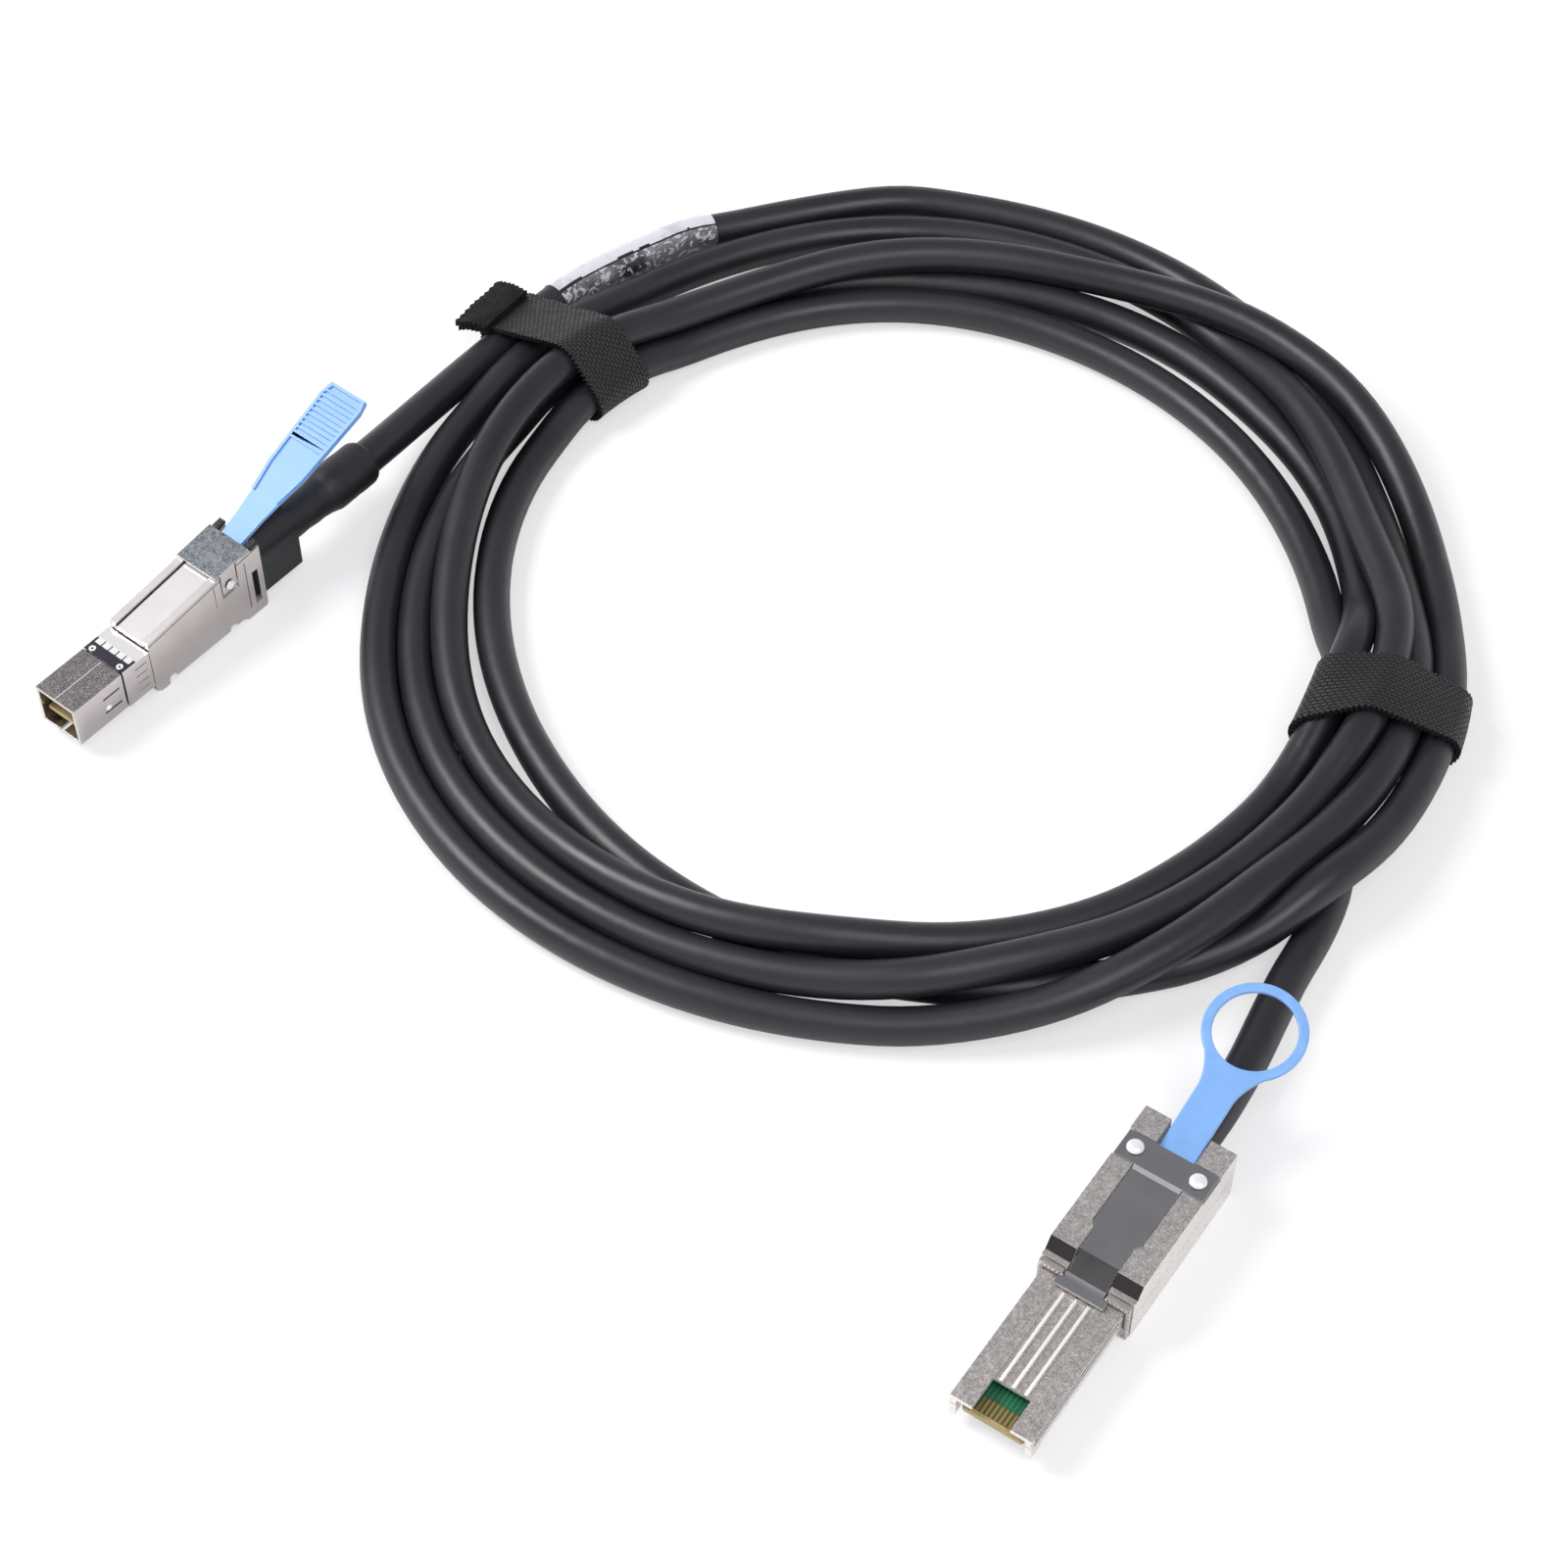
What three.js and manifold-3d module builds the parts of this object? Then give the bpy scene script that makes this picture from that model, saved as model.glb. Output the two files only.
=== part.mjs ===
// External mini SAS HD cable: a tall plug and a wide plug on one round cable, coiled and tied with two straps.
// Millimetres, +Z up. The floor is z = 0 and the origin is under the middle of the two plugs' box.
import * as THREE from 'three';
import { mergeVertices } from 'three/addons/utils/BufferGeometryUtils.js';
import Module from 'manifold-3d';

const wasm = await Module();
wasm.setup();

// Clearance between two pieces that touch, and how far a cutting block runs past what it cuts
const GAP = 0.3;
const PAST = 1;
const SHEET = 0.5;
const JOIN = 0.2;

// Cable
const CABLE_D = 8.8;
const CABLE_SIDES = 12;
const CABLE_STEP = 2.4;
const WIRE_R = 1.0;

// Wide plug: local +X runs from the back of the body to the tip of the nose, the underside is at z = 0
const WIDE_PLACE = { x: 114.8, y: -64.8, heading: -124.4 };
const WIDE_BODY_L = 40.9;
const WIDE_BODY_W = 21.6;
const WIDE_BODY_H = 14.85;
const WIDE_WALL = 1.6;
const WIDE_FLOOR = 1.0;
const WIDE_FRONT_WALL = 2.4;
const WIDE_FRONT_SKIN = 0.8;
const WIDE_SPLIT_Z = 6.9;
const WIDE_ROOF_T = 3.85;
const WIDE_FLANGE_DROP = 2.65;
const WIDE_FLANGE_L = 1.3;
const WIDE_CHAMFER_L = 2.0;
const WIDE_NOSE_L = 36.1;
const WIDE_NOSE_W = 18.9;
const WIDE_NOSE_TOP = 10.0;
const WIDE_NOSE_BOTTOM = 4.4;
const WIDE_NOSE_WALL = 1.45;
const WIDE_NOSE_ROOF = 1.2;
const WIDE_NOSE_FLOOR = 0.9;
const WIDE_LEG_H = 1.1;
const WIDE_LEG_L = 3.6;
const WIDE_NOTCH_L = 8.0;
const WIDE_NOTCH_W = 8.8;
const WIDE_RIDGE_COUNT = 3;
const WIDE_RIDGE_PITCH = 2.9;
const WIDE_RIDGE_W = 0.9;
const WIDE_RIDGE_H = 0.5;
const WIDE_RIDGE_START = 4.5;
const WIDE_SIDE_GROOVE = 0.35;
const WIDE_GROOVE_H = 0.6;

// Latch plate of the wide plug
const CROSSBAR_BACK = 6.8;
const CROSSBAR_L = 6.9;
const CROSSBAR_SIDE = 0.3;
const PLATE_DROP = 0.1;
const TONGUE_W = 11.2;
const TONGUE_NECK_W = 9.0;
const TONGUE_STEP_BACK = 11.4;
const TONGUE_STEP_L = 1.5;
const TONGUE_BEND_BACK = 4.1;
const TONGUE_BEND_ROOM = 0.4;
const TONGUE_DROP = 0.35;
const HOOK_W = 11.6;
const HOOK_REACH = 3.7;
const HOOK_BAR_L = 2.0;
const HOOK_RISE = 1.2;
const HOOK_LIP = 0.35;
const RIVET_HEAD_R = 1.9;
const RIVET_HEAD_H = 0.9;
const RIVET_SHANK_R = 1.2;
const RIVET_Y = 7.4;
const RIVET_GRIP = 2.8;

// Pull tab of the wide plug
const WIDE_TAB_W = 8.4;
const WIDE_TAB_T = 1.2;
const WIDE_TAB_FRONT = 15.5;
const WIDE_TAB_BEND_X = 6.0;
const WIDE_TAB_TILT = 13;
const WIDE_TAB_REACH = 32.3;
const TAB_SLOT_SIDE = 0.5;
const TAB_FLOOR_T = 0.8;
const RING_OUTER_R = 11.2;
const RING_INNER_R = 9.0;
const RING_FLARE = 13.0;
const RING_FLARE_ANGLE = 40;

// Inside the wide plug
const GASKET_T = 1.2;
const GASKET_MARGIN = 0.2;
const GASKET_Z0 = 0.6;
const WIDE_CARD_W = 14.2;
const CARD_T = 1.0;
const WIDE_CARD_Z = 5.6;
const WIDE_CARD_SET_BACK = 0.6;
const PAD_COUNT = 13;
const PAD_PITCH = 0.8;
const PAD_W = 0.5;
const PAD_L = 5.4;
const PAD_T = 0.1;
const PAD_INSET = 0.5;
const CARD_CHAMFER = 0.8;
const WIDE_MOULD_L = 8.7;
const WIDE_MOULD_H = 2.8;
const FERRULE_R = 3.9;
const FERRULE_L = 5.0;
const WIRE_SPREAD = 1.4;
const WIDE_WIRE_PITCH = 3.6;
const SCREW_X = 16;
const SCREW_BOSS_R = 2.6;
const SCREW_HEAD_R = 1.6;
const SCREW_HEAD_H = 0.8;
const SCREW_SHANK_R = 0.8;
const SCREW_DEPTH = 8.4;

// Tall plug: the same local axes
const TALL_PLACE = { x: -97.1, y: 98.5, heading: -129.0 };
const TALL_BODY_L = 36.7;
const TALL_BODY_W = 12.7;
const TALL_TOP_FRONT = 17.1;
const TALL_TOP_BACK = 21.4;
const TALL_WALL = 1.2;
const TALL_FLOOR_Z = 2.2;
const TALL_FLOOR_T = 1.0;
const TALL_WALL_DROP = 1.2;
const TALL_RAIL_T = 0.9;
// The side panel's lower edge: the front foot and its notch from the front end, the rear ones from the back
const TALL_FRONT_FOOT = [[0, 1.2], [1.5, 0], [4.1, 0], [4.5, 2.2], [6.3, 2.2], [6.7, 1.0]];
const TALL_REAR_FOOT = [
  [12.6, 1.0], [12.2, 2.2], [10.6, 2.2], [10.2, 1.2], [8.0, 1.2], [6.4, 0], [0.4, 0], [0, 0.6],
];
const TALL_WEB_T = 0.6;
const TALL_PLATE_DROP = 1.7;
const TALL_PLATE_T = 1.1;
const TALL_NOSE_L = 14.8;
const TALL_NOSE_W = 12.6;
const TALL_NOSE_Z0 = 3.5;
const TALL_NOSE_H = 11.3;
const TALL_NOSE_WALL = 0.8;
const TALL_NECK_INSET = 0.7;
const TALL_NECK_WALL = 0.6;
const TALL_NECK_IN_BODY = 2.7;
const COLLAR_L = 8.2;
const COLLAR_T = 0.5;
const COLLAR_W = 13.0;
const COLLAR_CORNER = 1;
const COLLAR_STUD_R = 0.5;
const COLLAR_STUD_Y = 4.03;
const COLLAR_SLIT_COUNT = 4;
const COLLAR_SLIT_PITCH = 2.4;
const COLLAR_SLIT_H = 0.4;
const COLLAR_SLIT_L = 3.4;
const COLLAR_SLIT_X = 1.2;
const FINGER_COUNT = 5;
const FINGER_SLOT_W = 0.5;
const FINGER_SLOT_L = 1.6;
const FINGER_BAND_L = 2.8;
const SIDE_SLOT_X = 1.6;
const SIDE_SLOT_W = 1.8;
const SIDE_SLOT_Z0 = 3.2;
const SIDE_SLOT_Z1 = 13.6;
const WINDOW_X0 = 7.6;
const WINDOW_X1 = 13.0;
const WINDOW_Z0 = 12.6;
const SEAM_X = 5.0;
const SEAM_W = 0.35;
const SEAM_DEPTH = 0.4;
const SEAM_TOP_DROP = 3;
const SLIT_X = 15.0;
const SLIT_DROP = 7.0;
const NOSE_SLOT_X0 = 1.2;
const NOSE_SLOT_L = 5.1;
const NOSE_SLOT_H = 0.5;
const NOSE_SLOT_Z = [6.8, 11.2];
const NOSE_SPLIT_W = 1.2;
const NOSE_SPLIT_L = 4.0;

// Latch plate, bracket, grips and tab of the tall plug
const TALL_LATCH_BACK = 11.4;
const TALL_LATCH_DROP = 0.7;
const BRACKET_X0 = 3.2;
const BRACKET_X1 = 14.4;
const GRIP_L = 2.6;
const GRIP_T = 0.9;
const GRIP_GROOVES = 3;
const GRIP_GROOVE_X = 0.5;
const GRIP_GROOVE_W = 0.3;
const GRIP_GROOVE_D = 0.1;
const GRIP_GROOVE_PITCH = 0.7;
const BRACKET_RIVET_R = 1.4;
const BRACKET_RIVET_H = 0.4;
const BRACKET_RIVET_X = 10.3;
const BRACKET_RIVET_Z = 15.6;
const TALL_TAB_FRONT = 11.0;
const TALL_TAB_T = 1.0;
const TALL_TAB_BEND_X = 2.5;
const TALL_TAB_TILT = 20;
const TALL_TAB_OUTLINE = [[0, 3.1], [8, 3.6], [13, 4.2], [21, 5.5], [29, 5.8], [42, 6.2], [45.2, 5.4]];
const TAB_RIM_W = 0.8;
const TAB_RIM_H = 0.5;
const TAB_RIB_COUNT = 11;
const TAB_RIB_FIRST = 28.5;
const TAB_RIB_PITCH = 1.4;
const TAB_RIB_W = 0.6;

// Inside the tall plug, and the rubber on its cable
const TALL_CABLE_Z = 12.8;
const TALL_CARD_W = 9.4;
const TALL_CARD_REAR_W = 7.8;
const TALL_CARD_REAR_L = 11.0;
const TALL_CARD_FRONT_L = 11.8;
const TALL_CARD_T = 1.2;
const TALL_CARD_Z = [7.3, 11.3];
const TALL_CARD_SET_BACK = 1.2;
const HOLDER_L = 12.0;
const TALL_WIRE_Y = 2.4;
const TALL_MOULD_L = 7.7;
const TALL_MOULD_Z0 = 6.0;
const TALL_MOULD_Z1 = 13.6;
const CRIMP_R = 4.2;
const CRIMP_L = 4.7;
const BOOT_W = 11.0;
const BOOT_L = 12.7;
const BOOT_Z0 = 3.3;
const BOOT_TOP = 19.5;
const BOOT_PLUG_L = 3.5;
const SLEEVE_L = 28.0;
const SLEEVE_PROFILE = [[0, 5.1], [0.42, 5.1], [0.55, 5.9], [0.97, 5.9], [1, 5.5]];

// Cable routes: the straight runs out of the plugs and the loose leads, chosen by hand
const LEFT_LEAD = [
  [-71.2, 131.2, 11.5], [-69.0, 135.0, 11.0], [-64.6, 145.2, 9.0], [-57.0, 156.2, 7.4], [-46.8, 169.0, 6.6],
];
const RIGHT_LEAD = [
  [121.0, -55.8, 5.6], [129.6, -40.6, 4.6], [134.6, -30.4, 4.5], [140.2, -19.2, 4.5], [146.4, -8.4, 4.5],
  [151.5, 3.0, 4.5],
];
const LABEL_PATH = [[-25.4, 196.8, 5.4], [-15.0, 205.6, 5.4], [-3.6, 213.4, 5.4], [7.2, 219.6, 5.4]];
const LABEL_T = 0.4;
const LABEL_SIDES = 20;
const LABEL_STEP = 6;

// Coil: a ring round an oval, with the inner and outer edge of the bundle in cable diameters from that oval
// and the height of the bundle in cable diameters, at twelve places from +X anticlockwise
const COIL_CENTRE = { x: 60, y: 99 };
const COIL_RX = 124;
const COIL_RY = 117;
const COIL_EDGES = [
  [-3.2, 0.5, 1.95], [-3.75, 0.2, 2.0], [-3.45, 1.8, 2.0], [-3.0, 2.5, 1.95], [-3.2, 2.1, 1.95], [-3.2, 1.4, 2.4],
  [-3.45, 0.3, 2.0], [-2.9, 1.3, 1.95], [-1.6, 2.0, 2.1], [-1.1, 2.5, 2.5], [-1.7, 1.8, 2.3], [-2.3, 1.2, 2.3],
];
const COIL_STATIONS = 72;
const COIL_SECTION_POINTS = 14;
const COIL_SQUARENESS = 0.62;

// Straps round the coil
const STRAP_ANGLES = { strap_left: 139, strap_right: -22 };
const STRAP_W = 16;
const STRAP_T = 1.6;
const STRAP_SLACK = 0.5;
const STRAP_RISE_SPREAD = 11;
const STRAP_SEGMENTS = 28;
const STRAP_STATIONS = 3;
const TAIL_L = 12;
const TAIL_T = 1.8;
const TAIL_Z = 9.5;

// Finishes
const finish = (color, roughness, metalness) => new THREE.MeshStandardMaterial({ color, roughness, metalness });
const DIE_CAST = finish(0x9c9690, 0.45, 0.9);
const STAINLESS = finish(0xb8b8ba, 0.25, 1.0);
const PLATED = finish(0xc4bebb, 0.22, 1.0);
const DARK_PLATED = finish(0x6c6767, 0.5, 0.8);
const BLUE_PLASTIC = finish(0x86b4ea, 0.4, 0);
const BLACK_RUBBER = finish(0x26262b, 0.6, 0);
const GREEN_BOARD = finish(0x1d5a3a, 0.4, 0);
const TAN_BOARD = finish(0xb59f62, 0.5, 0);
const BLACK_PLASTIC = finish(0x1c1c1f, 0.5, 0);
const WIRE_FOIL = finish(0xa9adb3, 0.4, 0.7);
const GASKET_MESH = finish(0x8d8780, 0.5, 0.7);
const LABEL_FILM = finish(0xe9e9ea, 0.35, 0);
const STRAP_WEAVE = finish(0x2a2a2d, 0.95, 0);

// Plain shapes
function block(x0, x1, y0, y1, z0, z1) {
  const g = new THREE.BoxGeometry(x1 - x0, y1 - y0, z1 - z0);
  return g.translate((x0 + x1) / 2, (y0 + y1) / 2, (z0 + z1) / 2);
}

function outline(points) {
  return new THREE.Shape(points.map(([a, b]) => new THREE.Vector2(a, b)));
}

function plate(shape, z0, z1, curveSegments = 12) {
  const g = new THREE.ExtrudeGeometry(shape, { depth: z1 - z0, bevelEnabled: false, curveSegments });
  return g.translate(0, 0, z0);
}

// A side view of x and z points, as wide as y0 to y1
function sideProfile(points, y0, y1) {
  const g = new THREE.ExtrudeGeometry(outline(points), { depth: y1 - y0, bevelEnabled: false });
  return g.rotateX(Math.PI / 2).translate(0, y1, 0);
}

// A front view of y and z, as long as x0 to x1
function frontProfile(shape, x0, x1, curveSegments = 12) {
  const g = new THREE.ExtrudeGeometry(shape, { depth: x1 - x0, bevelEnabled: false, curveSegments });
  const turn = new THREE.Matrix4().makeBasis(
    new THREE.Vector3(0, 1, 0), new THREE.Vector3(0, 0, 1), new THREE.Vector3(1, 0, 0),
  );
  return g.applyMatrix4(turn).translate(x0, 0, 0);
}

function rodX(x0, x1, radius, y, z, sides = 24) {
  const g = new THREE.CylinderGeometry(radius, radius, x1 - x0, sides);
  return g.rotateZ(-Math.PI / 2).translate((x0 + x1) / 2, y, z);
}

function rodZ(z0, z1, radius, x, y, sides = 20) {
  const g = new THREE.CylinderGeometry(radius, radius, z1 - z0, sides);
  return g.rotateX(Math.PI / 2).translate(x, y, (z0 + z1) / 2);
}

function circle(radius, sides) {
  const points = [];
  for (let i = 0; i < sides; i += 1) {
    const a = (i / sides) * Math.PI * 2;
    points.push([radius * Math.cos(a), radius * Math.sin(a)]);
  }
  return outline(points);
}

function routeCurve(points) {
  return new THREE.CatmullRomCurve3(points.map(([x, y, z]) => new THREE.Vector3(x, y, z)), false, 'centripetal');
}

function tube(curve, radius, sides = CABLE_SIDES, step = CABLE_STEP * CABLE_D) {
  const steps = Math.max(2, Math.round(curve.getLength() / step));
  return new THREE.ExtrudeGeometry(circle(radius, sides), { steps, extrudePath: curve, bevelEnabled: false });
}

// A closed ring of closed sections: each section is a list of points, and the last section joins the first.
// Seen along the way that the sections follow, their points run clockwise.
function closedLoft(sections) {
  const size = sections[0].length;
  const positions = sections.flat().flatMap((p) => [p.x, p.y, p.z]);
  const index = [];
  sections.forEach((section, i) => {
    const here = i * size;
    const next = ((i + 1) % sections.length) * size;
    for (let k = 0; k < size; k += 1) {
      const k2 = (k + 1) % size;
      index.push(here + k, here + k2, next + k2, here + k, next + k2, next + k);
    }
  });
  const g = new THREE.BufferGeometry();
  g.setAttribute('position', new THREE.Float32BufferAttribute(positions, 3));
  g.setIndex(index);
  return g;
}

// Booleans
function toSolid(geometry) {
  const g = geometry.clone();
  g.deleteAttribute('normal');
  g.deleteAttribute('uv');
  const merged = mergeVertices(g, 1e-4);
  return new wasm.Manifold(new wasm.Mesh({
    numProp: 3,
    vertProperties: new Float32Array(merged.attributes.position.array),
    triVerts: new Uint32Array(merged.index.array),
  }));
}

function fromSolid(solid) {
  const mesh = solid.getMesh();
  const g = new THREE.BufferGeometry();
  g.setAttribute('position', new THREE.BufferAttribute(new Float32Array(mesh.vertProperties), 3));
  g.setIndex(new THREE.BufferAttribute(new Uint32Array(mesh.triVerts), 1));
  g.computeVertexNormals();
  return g;
}

function joined(...shapes) {
  return fromSolid(shapes.map(toSolid).reduce((a, b) => a.add(b)));
}

function cut(shape, ...tools) {
  return fromSolid(tools.map(toSolid).reduce((a, b) => a.subtract(b), toSolid(shape)));
}

function common(a, b) {
  return fromSolid(toSolid(a).intersect(toSolid(b)));
}

// What is left of a shape when the loose slivers that a cut leaves beside it are dropped
function largestBody(geometry) {
  const bodies = toSolid(geometry).decompose();
  return fromSolid(bodies.reduce((a, b) => (b.volume() > a.volume() ? b : a)));
}

function piece(parent, name, geometry, material) {
  const mesh = new THREE.Mesh(geometry, material);
  mesh.name = name;
  parent.add(mesh);
}

const bothSides = (make) => [-1, 1].map(make);

// A box between two distances from the middle plane, on the given side
function sideBlock(side, x0, x1, inner, outer, z0, z1) {
  return side > 0 ? block(x0, x1, inner, outer, z0, z1) : block(x0, x1, -outer, -inner, z0, z1);
}

// Wide plug
const wideHalf = WIDE_BODY_W / 2;
const wideInnerHalf = wideHalf - WIDE_WALL;
const wideTip = WIDE_BODY_L + WIDE_NOSE_L;
const wideNoseHalf = WIDE_NOSE_W / 2;
const wideChannelHalf = wideNoseHalf - WIDE_NOSE_WALL;
const wideNoseStart = WIDE_BODY_L - WIDE_FRONT_WALL;
const plateTop = WIDE_BODY_H - PLATE_DROP;
const plateBottom = plateTop - SHEET;
const tongueTop = plateTop - TONGUE_DROP;
const screwY = wideInnerHalf - SCREW_BOSS_R + 2 * JOIN;
const tabSlotHalf = WIDE_TAB_W / 2 + TAB_SLOT_SIDE;
const ceilingZ = WIDE_BODY_H - WIDE_ROOF_T;
const wideCableZ = (WIDE_FLOOR + ceilingZ) / 2;
const flangeZ = WIDE_BODY_H - WIDE_FLANGE_DROP;
const tabBottom = ceilingZ + TAB_FLOOR_T + GAP;
const tongueStepX = WIDE_BODY_L - TONGUE_STEP_BACK;
const tongueBendX = WIDE_BODY_L - TONGUE_BEND_BACK;
const hookTipX = WIDE_BODY_L + HOOK_REACH;
const hookTopZ = WIDE_NOSE_TOP + HOOK_RISE;

function wideLowerHousing() {
  const body = block(0, WIDE_BODY_L, -wideHalf, wideHalf, 0, WIDE_SPLIT_Z);
  const cavity = block(WIDE_WALL, wideNoseStart, -wideInnerHalf, wideInnerHalf, WIDE_FLOOR, WIDE_SPLIT_Z + PAST);
  const nose = block(WIDE_BODY_L - PAST, wideTip, -wideNoseHalf, wideNoseHalf, WIDE_NOSE_BOTTOM, WIDE_SPLIT_Z);
  const floorTop = WIDE_NOSE_BOTTOM + WIDE_NOSE_FLOOR;
  const channel = block(
    wideNoseStart - PAST, wideTip + PAST, -wideChannelHalf, wideChannelHalf, floorTop, WIDE_SPLIT_Z + PAST,
  );
  const frontGap = block(
    wideTip - WIDE_NOTCH_L, wideTip + PAST, -wideChannelHalf, wideChannelHalf, WIDE_NOSE_BOTTOM - PAST, floorTop + PAST,
  );
  const cableHole = rodX(-PAST, WIDE_WALL + PAST, CABLE_D / 2 + GAP, 0, wideCableZ);
  const bosses = bothSides((s) => rodZ(WIDE_FLOOR / 2, WIDE_SPLIT_Z, SCREW_BOSS_R, SCREW_X, s * screwY));
  const screwHoles = bothSides((s) => rodZ(-PAST, WIDE_SPLIT_Z + PAST, SCREW_SHANK_R + GAP, SCREW_X, s * screwY));
  const headSeats = bothSides((s) => (
    rodZ(-PAST, SCREW_HEAD_H + 2 * GAP, SCREW_HEAD_R + GAP, SCREW_X, s * screwY)
  ));
  const legs = bothSides((s) => sideBlock(
    s, wideTip - WIDE_LEG_L, wideTip, wideChannelHalf, wideNoseHalf,
    WIDE_NOSE_BOTTOM - WIDE_LEG_H, WIDE_NOSE_BOTTOM + JOIN,
  ));
  const shell = joined(cut(joined(body, nose), cavity, channel, frontGap), ...bosses, ...legs);
  return cut(shell, cableHole, ...screwHoles, ...headSeats);
}

function wideUpperHousing() {
  const base = WIDE_SPLIT_Z + GAP;
  const body = sideProfile([
    [0, base], [WIDE_BODY_L, base], [WIDE_BODY_L, flangeZ], [WIDE_BODY_L - WIDE_FLANGE_L, flangeZ],
    [WIDE_BODY_L - WIDE_FLANGE_L - WIDE_CHAMFER_L, WIDE_BODY_H], [0, WIDE_BODY_H],
  ], -wideHalf, wideHalf);
  const cavity = block(WIDE_WALL, wideNoseStart, -wideInnerHalf, wideInnerHalf, base - PAST, ceilingZ);
  const nose = block(WIDE_BODY_L - PAST, wideTip, -wideNoseHalf, wideNoseHalf, base, WIDE_NOSE_TOP);
  const roof = WIDE_NOSE_TOP - WIDE_NOSE_ROOF;
  const channel = block(
    wideNoseStart - PAST, wideTip + PAST, -wideChannelHalf, wideChannelHalf, base - PAST, roof,
  );
  const notch = block(
    wideTip - WIDE_NOTCH_L, wideTip + PAST, -WIDE_NOTCH_W / 2, WIDE_NOTCH_W / 2, roof - PAST, WIDE_NOSE_TOP + PAST,
  );
  const ridgeBed = block(
    WIDE_BODY_L + WIDE_RIDGE_START, wideTip - WIDE_NOTCH_L + PAST, -WIDE_NOTCH_W / 2, WIDE_NOTCH_W / 2,
    WIDE_NOSE_TOP - WIDE_RIDGE_H, WIDE_NOSE_TOP + PAST,
  );
  const ridges = [];
  for (let i = 0; i < WIDE_RIDGE_COUNT; i += 1) {
    const y = (i - (WIDE_RIDGE_COUNT - 1) / 2) * WIDE_RIDGE_PITCH;
    ridges.push(block(
      WIDE_BODY_L + WIDE_RIDGE_START - 0.5, wideTip - WIDE_NOTCH_L, y - WIDE_RIDGE_W / 2, y + WIDE_RIDGE_W / 2,
      roof + 0.2, WIDE_NOSE_TOP,
    ));
  }
  const tabSlot = block(-PAST, WIDE_TAB_FRONT + PAST, -tabSlotHalf, tabSlotHalf, tabBottom - GAP, WIDE_BODY_H + PAST);
  const crossbarSeat = block(
    CROSSBAR_BACK - GAP, CROSSBAR_BACK + CROSSBAR_L + GAP, -wideHalf - PAST, wideHalf + PAST,
    plateBottom - GAP, WIDE_BODY_H + PAST,
  );
  const tongueBed = plate(outline([
    [CROSSBAR_BACK + CROSSBAR_L, -TONGUE_W / 2 - GAP], [tongueStepX + GAP, -TONGUE_W / 2 - GAP],
    [tongueStepX + TONGUE_STEP_L + GAP, -TONGUE_NECK_W / 2 - GAP], [WIDE_BODY_L + PAST, -TONGUE_NECK_W / 2 - GAP],
    [WIDE_BODY_L + PAST, TONGUE_NECK_W / 2 + GAP], [tongueStepX + TONGUE_STEP_L + GAP, TONGUE_NECK_W / 2 + GAP],
    [tongueStepX + GAP, TONGUE_W / 2 + GAP], [CROSSBAR_BACK + CROSSBAR_L, TONGUE_W / 2 + GAP],
  ]), tongueTop - SHEET - GAP, WIDE_BODY_H + PAST);
  const neckHalf = TONGUE_NECK_W / 2 + GAP;
  const bendBed = block(
    tongueBendX - TONGUE_BEND_ROOM, wideNoseStart + PAST, -neckHalf, neckHalf, hookTopZ + 2 * GAP, WIDE_BODY_H + PAST,
  );
  const dropBed = block(
    wideNoseStart + WIDE_FRONT_SKIN, WIDE_BODY_L + PAST, -neckHalf, neckHalf, WIDE_NOSE_TOP + GAP, WIDE_BODY_H + PAST,
  );
  const rivetHoles = bothSides((s) => rodZ(
    plateBottom - RIVET_GRIP, WIDE_BODY_H + PAST, RIVET_SHANK_R + GAP, CROSSBAR_BACK + CROSSBAR_L / 2, s * RIVET_Y,
  ));
  const cableHole = rodX(-PAST, WIDE_WALL + PAST, CABLE_D / 2 + GAP, 0, wideCableZ);
  const bosses = bothSides((s) => rodZ(base, ceilingZ + 0.5, SCREW_BOSS_R, SCREW_X, s * screwY));
  const screwHoles = bothSides((s) => rodZ(
    base - PAST, SCREW_HEAD_H + SCREW_DEPTH + 2 * GAP, SCREW_SHANK_R + GAP, SCREW_X, s * screwY,
  ));
  const sideGrooves = bothSides((s) => sideBlock(
    s, WIDE_BODY_L + GASKET_T + 2 * GAP, wideTip + PAST, wideNoseHalf - WIDE_SIDE_GROOVE, wideNoseHalf + PAST,
    roof - WIDE_GROOVE_H, roof,
  ));
  const shell = joined(cut(joined(body, nose), cavity, channel, notch, ridgeBed), ...ridges, ...bosses);
  return cut(
    shell, tabSlot, crossbarSeat, tongueBed, bendBed, dropBed, ...rivetHoles, cableHole, ...screwHoles, ...sideGrooves,
  );
}

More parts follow.
